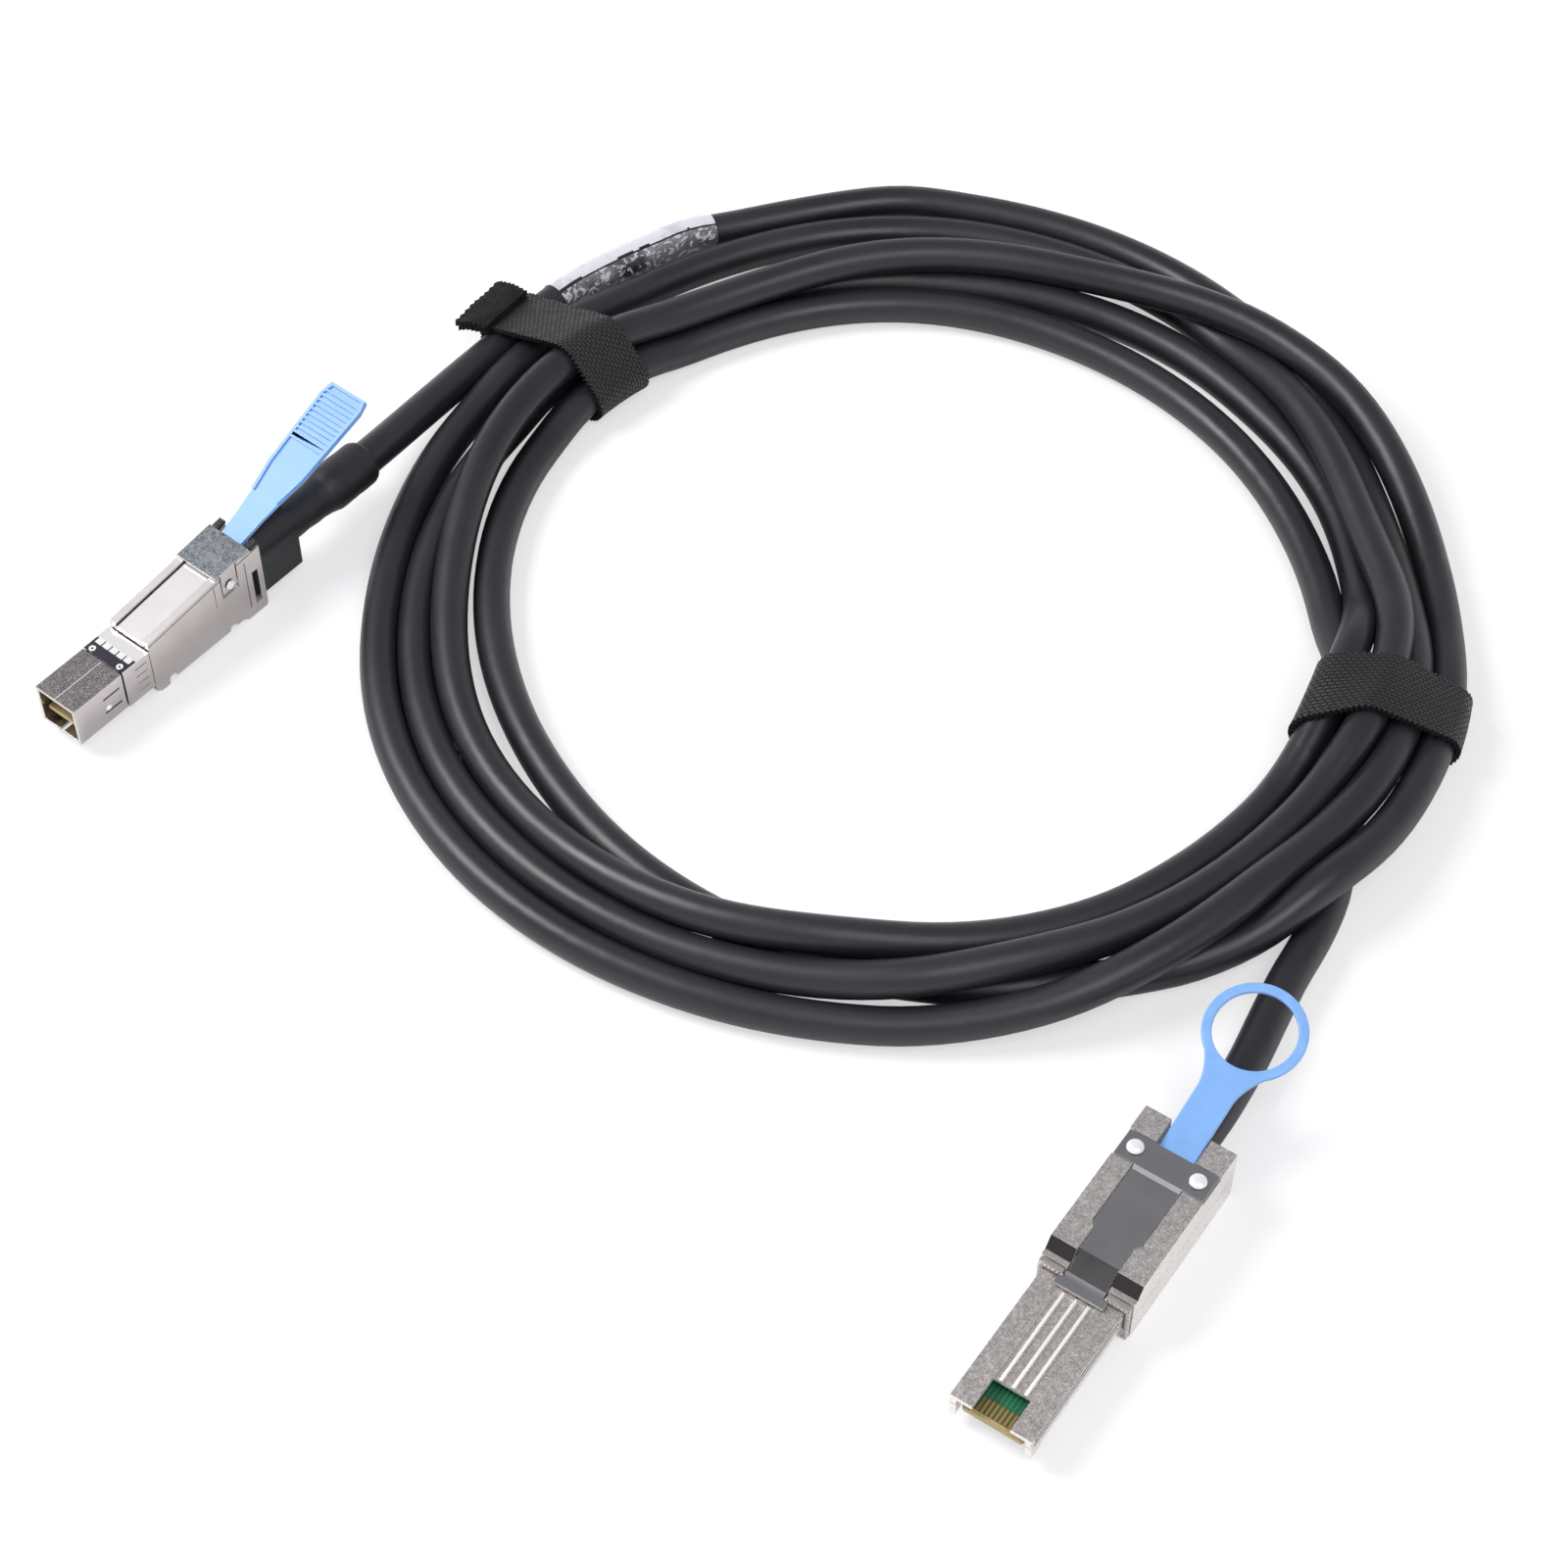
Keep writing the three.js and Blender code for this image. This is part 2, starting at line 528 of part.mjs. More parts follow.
function wideLatchPlate() {
  const crossbarFront = CROSSBAR_BACK + CROSSBAR_L;
  const slope = 1.25 * SHEET;
  const dropX = WIDE_BODY_L + 0.3;
  const section = sideProfile([
    [CROSSBAR_BACK, plateTop], [crossbarFront, plateTop], [crossbarFront + 1, tongueTop], [tongueBendX, tongueTop],
    [dropX, hookTopZ + 0.3], [hookTipX, hookTopZ], [hookTipX, WIDE_NOSE_TOP + HOOK_LIP],
    [hookTipX - SHEET, WIDE_NOSE_TOP + HOOK_LIP], [hookTipX - SHEET, hookTopZ - SHEET],
    [dropX - 0.2, hookTopZ + 0.3 - slope], [tongueBendX - 0.2, tongueTop - SHEET],
    [crossbarFront + 0.9, tongueTop - SHEET], [crossbarFront - 0.1, plateBottom], [CROSSBAR_BACK, plateBottom],
  ].reverse(), -wideHalf, wideHalf);
  const half = wideHalf - CROSSBAR_SIDE;
  const edge = [
    [CROSSBAR_BACK, half], [crossbarFront, half], [crossbarFront, TONGUE_W / 2], [tongueStepX, TONGUE_W / 2],
    [tongueStepX + TONGUE_STEP_L, TONGUE_NECK_W / 2], [hookTipX - HOOK_BAR_L, TONGUE_NECK_W / 2],
    [hookTipX - HOOK_BAR_L, HOOK_W / 2], [hookTipX, HOOK_W / 2],
  ];
  const plan = outline([...edge, ...edge.map(([x, y]) => [x, -y]).reverse()]);
  const sheet = common(section, plate(plan, 0, WIDE_BODY_H + PAST));
  const holes = bothSides((s) => rodZ(
    0, WIDE_BODY_H + PAST, RIVET_SHANK_R + GAP, CROSSBAR_BACK + CROSSBAR_L / 2, s * RIVET_Y,
  ));
  return cut(sheet, ...holes);
}

function latchRivet(side) {
  const top = plateTop + GAP;
  const points = [[0, top - SHEET - RIVET_GRIP], [RIVET_SHANK_R, top - SHEET - RIVET_GRIP], [RIVET_SHANK_R, top]];
  for (let i = 0; i <= 4; i += 1) {
    const a = (i / 4) * (Math.PI / 2);
    points.push([RIVET_HEAD_R * Math.cos(a), top + 0.25 + (RIVET_HEAD_H - 0.25) * Math.sin(a)]);
  }
  points.splice(3, 0, [RIVET_HEAD_R, top]);
  points[points.length - 1][0] = 0;
  const g = new THREE.LatheGeometry(points.map(([r, z]) => new THREE.Vector2(r, z)), 20);
  return g.rotateX(Math.PI / 2).translate(CROSSBAR_BACK + CROSSBAR_L / 2, side * RIVET_Y, 0);
}

// The tab's outer part is drawn flat from its bend at u = 0 backwards, then tilted up
function tiltedBack(geometry, bendX, bendZ, tilt) {
  const turned = geometry.rotateZ(Math.PI).rotateY(THREE.MathUtils.degToRad(tilt));
  return turned.translate(bendX, 0, bendZ);
}

function widePullTab() {
  const root = block(
    WIDE_TAB_BEND_X - 0.3, WIDE_TAB_FRONT, -WIDE_TAB_W / 2, WIDE_TAB_W / 2, tabBottom, tabBottom + WIDE_TAB_T,
  );
  const half = WIDE_TAB_W / 2;
  const flare = THREE.MathUtils.degToRad(RING_FLARE_ANGLE);
  const shape = new THREE.Shape();
  shape.moveTo(0, -half);
  shape.lineTo(WIDE_TAB_REACH - RING_FLARE - 4, -half);
  shape.quadraticCurveTo(
    WIDE_TAB_REACH - RING_FLARE, -half,
    WIDE_TAB_REACH - RING_OUTER_R * Math.cos(flare), -RING_OUTER_R * Math.sin(flare),
  );
  shape.absarc(WIDE_TAB_REACH, 0, RING_OUTER_R, Math.PI + flare, Math.PI * 3 - flare, false);
  shape.quadraticCurveTo(WIDE_TAB_REACH - RING_FLARE, half, WIDE_TAB_REACH - RING_FLARE - 4, half);
  shape.lineTo(0, half);
  const hole = new THREE.Path();
  hole.absarc(WIDE_TAB_REACH, 0, RING_INNER_R, 0, Math.PI * 2, true);
  shape.holes.push(hole);
  const ring = tiltedBack(plate(shape, 0, WIDE_TAB_T, 20), WIDE_TAB_BEND_X, tabBottom, WIDE_TAB_TILT);
  return joined(root, ring);
}

function wideGasket() {
  const x0 = WIDE_BODY_L + GAP;
  const outer = wideHalf - GASKET_MARGIN;
  const frame = block(x0, x0 + GASKET_T, -outer, outer, GASKET_Z0, flangeZ - GASKET_MARGIN);
  const hole = block(
    x0 - PAST, x0 + GASKET_T + PAST, -wideNoseHalf - GAP, wideNoseHalf + GAP, WIDE_NOSE_BOTTOM - GAP, WIDE_NOSE_TOP + GAP,
  );
  const neckHalf = TONGUE_NECK_W / 2 + 2 * GAP;
  const tongueGap = block(x0 - PAST, x0 + GASKET_T + PAST, -neckHalf, neckHalf, WIDE_NOSE_TOP, WIDE_BODY_H);
  return cut(frame, hole, tongueGap);
}

const wideCardBack = WIDE_BODY_L + GASKET_T;

function wideCard() {
  const front = wideTip - WIDE_CARD_SET_BACK;
  const half = WIDE_CARD_W / 2;
  const card = plate(outline([
    [wideCardBack, -half], [front - CARD_CHAMFER, -half], [front, -half + CARD_CHAMFER],
    [front, half - CARD_CHAMFER], [front - CARD_CHAMFER, half],
    [wideCardBack, half],
  ]), WIDE_CARD_Z, WIDE_CARD_Z + CARD_T);
  const pads = [];
  for (let i = 0; i < PAD_COUNT; i += 1) {
    const y = (i - (PAD_COUNT - 1) / 2) * PAD_PITCH;
    pads.push(block(
      front - PAD_INSET - PAD_L, front - PAD_INSET, y - PAD_W / 2, y + PAD_W / 2,
      WIDE_CARD_Z + CARD_T / 2, WIDE_CARD_Z + CARD_T + PAD_T,
    ));
  }
  return joined(card, ...pads);
}

function wideMould() {
  const half = wideChannelHalf - GAP;
  const x1 = wideCardBack - GAP;
  return block(x1 - WIDE_MOULD_L, x1, -half, half, WIDE_CARD_Z, WIDE_CARD_Z + WIDE_MOULD_H);
}

// One wire pair from a square bunch of four at the cable to its own place at the mould
function wirePair(x0, x1, startZ, side, row, endY, endZ) {
  const run = x1 - x0;
  const y0 = side * WIRE_SPREAD;
  const z0 = startZ + row * WIRE_SPREAD;
  return tube(routeCurve([
    [x0, y0, z0], [x0 + run * 0.15, y0, z0], [x0 + run * 0.5, (y0 + endY) / 2, (z0 + endZ) / 2],
    [x1 - run * 0.15, endY, endZ], [x1, endY, endZ],
  ]), WIRE_R, 8, 4);
}

function widePlug() {
  const plug = new THREE.Group();
  piece(plug, 'wide_lower_housing', wideLowerHousing(), DIE_CAST);
  piece(plug, 'wide_upper_housing', wideUpperHousing(), DIE_CAST);
  piece(plug, 'wide_latch_plate', wideLatchPlate(), STAINLESS);
  piece(plug, 'wide_latch_rivet_left', latchRivet(1), STAINLESS);
  piece(plug, 'wide_latch_rivet_right', latchRivet(-1), STAINLESS);
  piece(plug, 'wide_pull_tab', widePullTab(), BLUE_PLASTIC);
  piece(plug, 'wide_shield_gasket', wideGasket(), GASKET_MESH);
  piece(plug, 'wide_paddle_card', wideCard(), GREEN_BOARD);
  piece(plug, 'wide_inner_mould', wideMould(), BLACK_PLASTIC);
  const ferruleX = WIDE_WALL + GAP;
  piece(plug, 'wide_crimp_ferrule', rodX(ferruleX, ferruleX + FERRULE_L, FERRULE_R, 0, wideCableZ), PLATED);
  const wireX0 = ferruleX + FERRULE_L + GAP;
  const wireX1 = wideCardBack - 2 * GAP - WIDE_MOULD_L;
  const endZ = WIDE_CARD_Z + WIDE_MOULD_H / 2;
  [[-1, 1], [-1, -1], [1, -1], [1, 1]].forEach(([side, row], i) => {
    const wire = wirePair(wireX0, wireX1, wideCableZ, side, row, (i - 1.5) * WIDE_WIRE_PITCH, endZ);
    piece(plug, `wide_wire_pair_${i + 1}`, wire, WIRE_FOIL);
  });
  [['left', 1], ['right', -1]].forEach(([name, s]) => {
    const head = rodZ(GAP, GAP + SCREW_HEAD_H, SCREW_HEAD_R, SCREW_X, s * screwY);
    const shank = rodZ(GAP + SCREW_HEAD_H / 2, SCREW_HEAD_H + SCREW_DEPTH, SCREW_SHANK_R, SCREW_X, s * screwY, 12);
    piece(plug, `wide_housing_screw_${name}`, joined(head, shank), STAINLESS);
  });
  return plug;
}

// Tall plug
const tallHalf = TALL_BODY_W / 2;
const tallInnerHalf = tallHalf - TALL_WALL;
const tallNoseBack = TALL_BODY_L + GAP + COLLAR_L + GAP;
const tallTip = tallNoseBack + TALL_NOSE_L;
const tallNoseHalf = TALL_NOSE_W / 2;
const tallNeckHalf = tallInnerHalf - GAP;
const tallNeckZ0 = TALL_NOSE_Z0 + TALL_NECK_INSET;
const tallNeckZ1 = TALL_NOSE_Z0 + TALL_NOSE_H - TALL_NECK_INSET;
const tallCardFront = tallTip - TALL_CARD_SET_BACK;
const tallCardBack = tallCardFront - TALL_CARD_FRONT_L - TALL_CARD_REAR_L;

const tallTopAt = (x) => TALL_TOP_FRONT + (TALL_TOP_BACK - TALL_TOP_FRONT) * (1 - x / TALL_BODY_L);

// A slab that follows the plug's inclined top, between two heights measured from it
function slopedSlab(x0, x1, low, high, y0, y1) {
  return sideProfile([
    [x0, tallTopAt(x0) + low], [x1, tallTopAt(x1) + low], [x1, tallTopAt(x1) + high], [x0, tallTopAt(x0) + high],
  ], y0, y1);
}

function slopedSide(side, x0, x1, low, high, inner, outer) {
  return side > 0 ? slopedSlab(x0, x1, low, high, inner, outer) : slopedSlab(x0, x1, low, high, -outer, -inner);
}

const frontFoot = TALL_FRONT_FOOT.map(([back, z]) => [TALL_BODY_L - back, z]);

function windowTool(side) {
  return sideBlock(side, WINDOW_X0, WINDOW_X1, tallHalf - SHEET - GAP, tallHalf + PAST, WINDOW_Z0, TALL_TOP_BACK + 2);
}

function tallLowerHousing() {
  const wallTop = [[0, tallTopAt(0) - TALL_WALL_DROP], [TALL_BODY_L, tallTopAt(TALL_BODY_L) - TALL_WALL_DROP]];
  const panels = [
    sideProfile([...frontFoot, ...TALL_REAR_FOOT, ...wallTop].reverse(), tallInnerHalf, tallHalf),
    sideProfile([...frontFoot, ...TALL_REAR_FOOT, ...wallTop].reverse(), -tallHalf, -tallInnerHalf),
  ];
  const floor = block(
    0, TALL_BODY_L, -tallInnerHalf - JOIN, tallInnerHalf + JOIN, TALL_FLOOR_Z, TALL_FLOOR_Z + TALL_FLOOR_T,
  );
  const sill = block(
    TALL_BODY_L - TALL_WALL, TALL_BODY_L, -tallInnerHalf - JOIN, tallInnerHalf + JOIN,
    TALL_FLOOR_Z, tallNeckZ0 - GAP,
  );
  const slots = bothSides((s) => sideBlock(
    s, SIDE_SLOT_X, SIDE_SLOT_X + SIDE_SLOT_W, tallInnerHalf - PAST, tallHalf + PAST, SIDE_SLOT_Z0, SIDE_SLOT_Z1,
  ));
  const seams = bothSides((s) => sideBlock(
    s, SEAM_X, SEAM_X + SEAM_W, tallHalf - SEAM_DEPTH, tallHalf + PAST, TALL_FLOOR_Z + JOIN, TALL_TOP_BACK - SEAM_TOP_DROP,
  ));
  const slits = bothSides((s) => sideBlock(
    s, SLIT_X, SLIT_X + SEAM_W, tallHalf - SEAM_DEPTH, tallHalf + PAST,
    tallTopAt(SLIT_X) - TALL_WALL_DROP - SLIT_DROP, TALL_TOP_BACK,
  ));
  return cut(joined(...panels, floor, sill), ...slots, ...seams, ...slits, windowTool(1), windowTool(-1));
}

const tallWebHalf = tallInnerHalf - GAP;
const tallLatchHalf = tallWebHalf - TALL_WEB_T - GAP;

function tallUpperHousing() {
  const x0 = 0;
  const x1 = TALL_BODY_L;
  const bed = slopedSlab(x0, x1, -TALL_PLATE_DROP - TALL_PLATE_T, -TALL_PLATE_DROP, -tallWebHalf, tallWebHalf);
  const webs = bothSides((s) => slopedSide(s, x0, x1, -TALL_PLATE_DROP - 0.5, 0, tallWebHalf - TALL_WEB_T, tallWebHalf));
  const rails = bothSides((s) => slopedSide(s, x0, x1, -TALL_RAIL_T, 0, tallWebHalf - 0.1, tallHalf));
  const gripSeats = bothSides((s) => slopedSide(
    s, -PAST, GRIP_L + GAP, -GRIP_T - GAP, PAST, tallWebHalf - TALL_WEB_T - PAST, tallHalf + PAST,
  ));
  return cut(joined(bed, ...webs, ...rails), windowTool(1), windowTool(-1), ...gripSeats);
}

function tallGrip(side) {
  const slab = slopedSide(side, 0, GRIP_L, -GRIP_T + GAP, 0.2, tallWebHalf - TALL_WEB_T, tallHalf - 0.1);
  const grooves = [];
  for (let i = 0; i < GRIP_GROOVES; i += 1) {
    const x = GRIP_GROOVE_X + i * GRIP_GROOVE_PITCH;
    grooves.push(slopedSide(
      side, x, x + GRIP_GROOVE_W, -GRIP_GROOVE_D, PAST, tallWebHalf - PAST, tallHalf + PAST,
    ));
  }
  return cut(slab, ...grooves);
}

function tallNose() {
  const z0 = TALL_NOSE_Z0;
  const z1 = TALL_NOSE_Z0 + TALL_NOSE_H;
  const box = block(tallNoseBack, tallTip, -tallNoseHalf, tallNoseHalf, z0, z1);
  const boxInside = block(
    tallNoseBack + TALL_NOSE_WALL, tallTip + PAST, -tallNoseHalf + TALL_NOSE_WALL, tallNoseHalf - TALL_NOSE_WALL,
    z0 + TALL_NOSE_WALL, z1 - TALL_NOSE_WALL,
  );
  const neckBack = TALL_BODY_L - TALL_NECK_IN_BODY;
  const neck = block(neckBack, tallNoseBack + 0.4, -tallNeckHalf, tallNeckHalf, tallNeckZ0, tallNeckZ1);
  const neckInside = block(
    neckBack - PAST, tallNoseBack + TALL_NOSE_WALL + PAST, -tallNeckHalf + TALL_NECK_WALL, tallNeckHalf - TALL_NECK_WALL,
    tallNeckZ0 + TALL_NECK_WALL, tallNeckZ1 - TALL_NECK_WALL,
  );
  const slots = NOSE_SLOT_Z.flatMap((z) => bothSides((s) => sideBlock(
    s, tallNoseBack + NOSE_SLOT_X0, tallNoseBack + NOSE_SLOT_X0 + NOSE_SLOT_L, tallNoseHalf - TALL_NOSE_WALL - PAST,
    tallNoseHalf + PAST, z - NOSE_SLOT_H / 2, z + NOSE_SLOT_H / 2,
  )));
  const split = block(
    tallTip - NOSE_SPLIT_L, tallTip + PAST, -NOSE_SPLIT_W / 2, NOSE_SPLIT_W / 2, z0 - PAST, z0 + TALL_NOSE_WALL + PAST,
  );
  return cut(joined(box, neck), boxInside, neckInside, ...slots, split);
}

function tallCollar() {
  const x0 = TALL_BODY_L + GAP;
  const x1 = x0 + COLLAR_L;
  const half = COLLAR_W / 2;
  const z0 = tallNeckZ0 - GAP - COLLAR_T;
  const z1 = tallNeckZ1 + GAP + COLLAR_T;
  const band = block(x0, x1, -half, half, z0, z1);
  const inside = block(x0 - PAST, x1 + PAST, -half + COLLAR_T, half - COLLAR_T, z0 + COLLAR_T, z1 - COLLAR_T);
  const slotX = x1 - FINGER_BAND_L - FINGER_SLOT_L;
  const fingerPitch = (COLLAR_W - 2 * COLLAR_CORNER) / FINGER_COUNT;
  const fingerSlots = [];
  for (let i = 0; i <= FINGER_COUNT; i += 1) {
    const y = (i - FINGER_COUNT / 2) * fingerPitch;
    fingerSlots.push(block(
      slotX, slotX + FINGER_SLOT_L, y - FINGER_SLOT_W / 2, y + FINGER_SLOT_W / 2, z1 - COLLAR_T - JOIN, z1 + PAST,
    ));
  }
  const slits = [];
  for (let i = 0; i < COLLAR_SLIT_COUNT; i += 1) {
    const z = (z0 + z1) / 2 + (i - (COLLAR_SLIT_COUNT - 1) / 2) * COLLAR_SLIT_PITCH;
    slits.push(block(
      x0 + COLLAR_SLIT_X, x0 + COLLAR_SLIT_X + COLLAR_SLIT_L, -half - PAST, half + PAST, z - COLLAR_SLIT_H / 2, z + COLLAR_SLIT_H / 2,
    ));
  }
  const studHoles = bothSides((s) => rodZ(
    z1 - COLLAR_T - JOIN, z1 + PAST, COLLAR_STUD_R, x1 - FINGER_BAND_L / 2, s * COLLAR_STUD_Y, 12,
  ));
  return cut(band, inside, ...fingerSlots, ...slits, ...studHoles);
}

function tallLatchPlate() {
  const top = -TALL_LATCH_DROP;
  return slopedSlab(TALL_LATCH_BACK, TALL_BODY_L, top - SHEET, top, -tallLatchHalf, tallLatchHalf);
}

function tallBracket() {
  const roof = slopedSlab(BRACKET_X0, BRACKET_X1, GAP, GAP + SHEET, -tallHalf, tallHalf);
  const drop = tallTopAt(WINDOW_X0) - WINDOW_Z0 - 2 * GAP;
  const tabs = bothSides((s) => slopedSide(
    s, WINDOW_X0 + GAP, WINDOW_X1 - GAP, -drop + 1, GAP + SHEET / 2, tallHalf - SHEET, tallHalf,
  ));
  return joined(roof, ...tabs);
}

function bracketRivet(side) {
  const points = [[0, 0], [BRACKET_RIVET_R, 0], [BRACKET_RIVET_R * 0.8, BRACKET_RIVET_H * 0.7], [0, BRACKET_RIVET_H]];
  const g = new THREE.LatheGeometry(points.map(([r, h]) => new THREE.Vector2(r, h)), 18);
  if (side < 0) {
    g.rotateX(Math.PI);
  }
  return g.translate(BRACKET_RIVET_X, side * (tallHalf + GAP), BRACKET_RIVET_Z);
}

const tallTabTop = -TALL_LATCH_DROP + 0.3;

function tallPullTab() {
  const rootHalf = TALL_TAB_OUTLINE[0][1];
  const root = slopedSlab(
    TALL_TAB_BEND_X - 0.3, TALL_TAB_FRONT, tallTabTop - TALL_TAB_T, tallTabTop, -rootHalf, rootHalf,
  );
  const edge = TALL_TAB_OUTLINE;
  const flat = plate(outline([...edge.map(([u, v]) => [u, -v]), ...[...edge].reverse()]), 0, TALL_TAB_T);
    const wide = edge.slice(2);
  const inner = wide.map(([u, v], i) => [i === wide.length - 1 ? u - TAB_RIM_W : u, v - TAB_RIM_W]);
  const rimTool = plate(
    outline([...inner.map(([u, v]) => [u, -v]), ...[...inner].reverse()]), TALL_TAB_T, TALL_TAB_T + TAB_RIM_H + PAST,
  );
  const rimBlank = plate(
    outline([...wide.map(([u, v]) => [u, -v]), ...[...wide].reverse()]), TALL_TAB_T / 2, TALL_TAB_T + TAB_RIM_H,
  );
  const ribs = [];
  for (let i = 0; i < TAB_RIB_COUNT; i += 1) {
    const u = TAB_RIB_FIRST + i * TAB_RIB_PITCH;
    const half = edge[4][1] - TAB_RIM_W / 2;
    ribs.push(block(u, u + TAB_RIB_W, -half, half, TALL_TAB_T / 2, TALL_TAB_T + TAB_RIM_H));
  }
  const blade = joined(flat, cut(rimBlank, rimTool), ...ribs);
  const bendZ = tallTopAt(TALL_TAB_BEND_X) + tallTabTop - TALL_TAB_T;
  return joined(root, tiltedBack(blade, TALL_TAB_BEND_X, bendZ, TALL_TAB_TILT));
}

function tallCard(z) {
  const front = tallCardFront;
  const step = front - TALL_CARD_FRONT_L;
  const edge = [
    [tallCardBack, TALL_CARD_REAR_W / 2], [step, TALL_CARD_REAR_W / 2], [step + 0.6, TALL_CARD_W / 2],
    [front, TALL_CARD_W / 2],
  ];
  return plate(outline([...edge.map(([x, y]) => [x, -y]), ...[...edge].reverse()]), z, z + TALL_CARD_T);
}

function tallBoot() {
  const half = BOOT_W / 2;
  const shape = new THREE.Shape();
  shape.moveTo(-half, BOOT_Z0);
  shape.lineTo(half, BOOT_Z0);
  shape.lineTo(half, BOOT_TOP - half);
  shape.absarc(0, BOOT_TOP - half, half, 0, Math.PI, false);
  const outside = frontProfile(shape, -GAP - BOOT_L, -GAP, 10);
  const z1 = tallTopAt(0) - TALL_PLATE_DROP - TALL_PLATE_T - 2 * GAP;
  const plugHalf = tallInnerHalf - GAP;
  const inside = block(
    -GAP - 0.5, BOOT_PLUG_L, -plugHalf, plugHalf, TALL_FLOOR_Z + TALL_FLOOR_T + GAP, Math.min(z1, BOOT_TOP - 1),
  );
  return joined(outside, inside);
}

function tallPlug() {
  const plug = new THREE.Group();
  piece(plug, 'tall_lower_housing', tallLowerHousing(), PLATED);
  piece(plug, 'tall_upper_housing', tallUpperHousing(), PLATED);
  piece(plug, 'tall_nose_shell', tallNose(), DARK_PLATED);
  piece(plug, 'tall_shield_collar', tallCollar(), PLATED);
  piece(plug, 'tall_latch_plate', tallLatchPlate(), STAINLESS);
  piece(plug, 'tall_cover_bracket', tallBracket(), DARK_PLATED);
  piece(plug, 'tall_bracket_rivet_left', bracketRivet(1), STAINLESS);
  piece(plug, 'tall_bracket_rivet_right', bracketRivet(-1), STAINLESS);
  piece(plug, 'tall_grip_left', tallGrip(1), BLACK_PLASTIC);
  piece(plug, 'tall_grip_right', tallGrip(-1), BLACK_PLASTIC);
  piece(plug, 'tall_pull_tab', tallPullTab(), BLUE_PLASTIC);
  piece(plug, 'tall_lower_card', tallCard(TALL_CARD_Z[0]), TAN_BOARD);
  piece(plug, 'tall_upper_card', tallCard(TALL_CARD_Z[1]), TAN_BOARD);
  const holderHalf = TALL_CARD_REAR_W / 2;
  piece(plug, 'tall_card_holder', block(
    tallCardBack, tallCardBack + HOLDER_L, -holderHalf, holderHalf, TALL_CARD_Z[0] + TALL_CARD_T + GAP, TALL_CARD_Z[1] - GAP,
  ), BLACK_PLASTIC);
  const mouldX1 = Math.min(tallCardBack, TALL_BODY_L - TALL_NECK_IN_BODY) - GAP;
  const mouldHalf = tallInnerHalf - GAP;
  piece(plug, 'tall_inner_mould', block(
    mouldX1 - TALL_MOULD_L, mouldX1, -mouldHalf, mouldHalf, TALL_MOULD_Z0, TALL_MOULD_Z1,
  ), BLACK_PLASTIC);
  const crimpX = BOOT_PLUG_L + GAP;
  piece(plug, 'tall_crimp_ring', rodX(crimpX, crimpX + CRIMP_L, CRIMP_R, 0, TALL_CABLE_Z), PLATED);
  [[-1, 1], [-1, -1], [1, -1], [1, 1]].forEach(([side, row], i) => {
    const endZ = TALL_CARD_Z[row > 0 ? 1 : 0] + TALL_CARD_T / 2;
    const wire = wirePair(
      crimpX + CRIMP_L + GAP, mouldX1 - TALL_MOULD_L - GAP, TALL_CABLE_Z, side, row, side * TALL_WIRE_Y, endZ,
    );
    piece(plug, `tall_wire_pair_${i + 1}`, wire, WIRE_FOIL);
  });
  piece(plug, 'tall_boot', tallBoot(), BLACK_RUBBER);
  return plug;
}

function place(plug, spot) {
  plug.rotation.z = THREE.MathUtils.degToRad(spot.heading);
  plug.position.set(spot.x, spot.y, 0);
  return plug;
}

// A point of a plug's own frame, in the frame of the whole cable
function placed(spot, x, z) {
  const a = THREE.MathUtils.degToRad(spot.heading);
  return [spot.x + x * Math.cos(a), spot.y + x * Math.sin(a), z];
}

// Coil and straps
function ringAngle(degrees) {
  return THREE.MathUtils.degToRad(degrees);
}

function ovalRadius(angle) {
  return 1 / Math.hypot(Math.cos(angle) / COIL_RX, Math.sin(angle) / COIL_RY);
}

function edgeCurve(column) {
  const points = COIL_EDGES.map((row, i) => new THREE.Vector3(i, row[column], 0));
  return (degrees) => {
    const place = THREE.MathUtils.euclideanModulo((degrees / 360) * points.length, points.length);
    const i = Math.floor(place);
    const t = place - i;
    const at = (k) => points[(k + points.length) % points.length].y;
    const [p0, p1, p2, p3] = [at(i - 1), at(i), at(i + 1), at(i + 2)];
    return 0.5 * (2 * p1 + (p2 - p0) * t + (2 * p0 - 5 * p1 + 4 * p2 - p3) * t * t
      + (3 * p1 - p0 - 3 * p2 + p3) * t * t * t);
  };
}

const innerEdge = edgeCurve(0);
const outerEdge = edgeCurve(1);
const bundleHeight = edgeCurve(2);

function strapRise(degrees) {
  return Math.max(...Object.values(STRAP_ANGLES).map((at) => {
    const away = THREE.MathUtils.euclideanModulo(degrees - at + 180, 360) - 180;
    return (STRAP_T + GAP + STRAP_SLACK) * Math.exp(-((away / STRAP_RISE_SPREAD) ** 4));
  }));
}

// The bundle's section at an angle: its middle radius and height, and half its width and height
function sectionAt(degrees) {
  const oval = ovalRadius(ringAngle(degrees));
  const inner = oval + innerEdge(degrees) * CABLE_D;
  const outer = oval + outerEdge(degrees) * CABLE_D;
  const low = strapRise(degrees);
  const high = bundleHeight(degrees) * CABLE_D + low;
  return { r: (inner + outer) / 2, z: (low + high) / 2, halfW: (outer - inner) / 2, halfH: (high - low) / 2 };
}

function sectionPoint(degrees, turn, offset) {
  const s = sectionAt(degrees);
  const soft = (v) => Math.sign(v) * Math.abs(v) ** COIL_SQUARENESS;
  const r = s.r + (s.halfW + offset) * soft(Math.cos(turn));
  const z = s.z + (s.halfH + offset) * soft(Math.sin(turn));
  const a = ringAngle(degrees);
  return new THREE.Vector3(COIL_CENTRE.x + r * Math.cos(a), COIL_CENTRE.y + r * Math.sin(a), z);
}

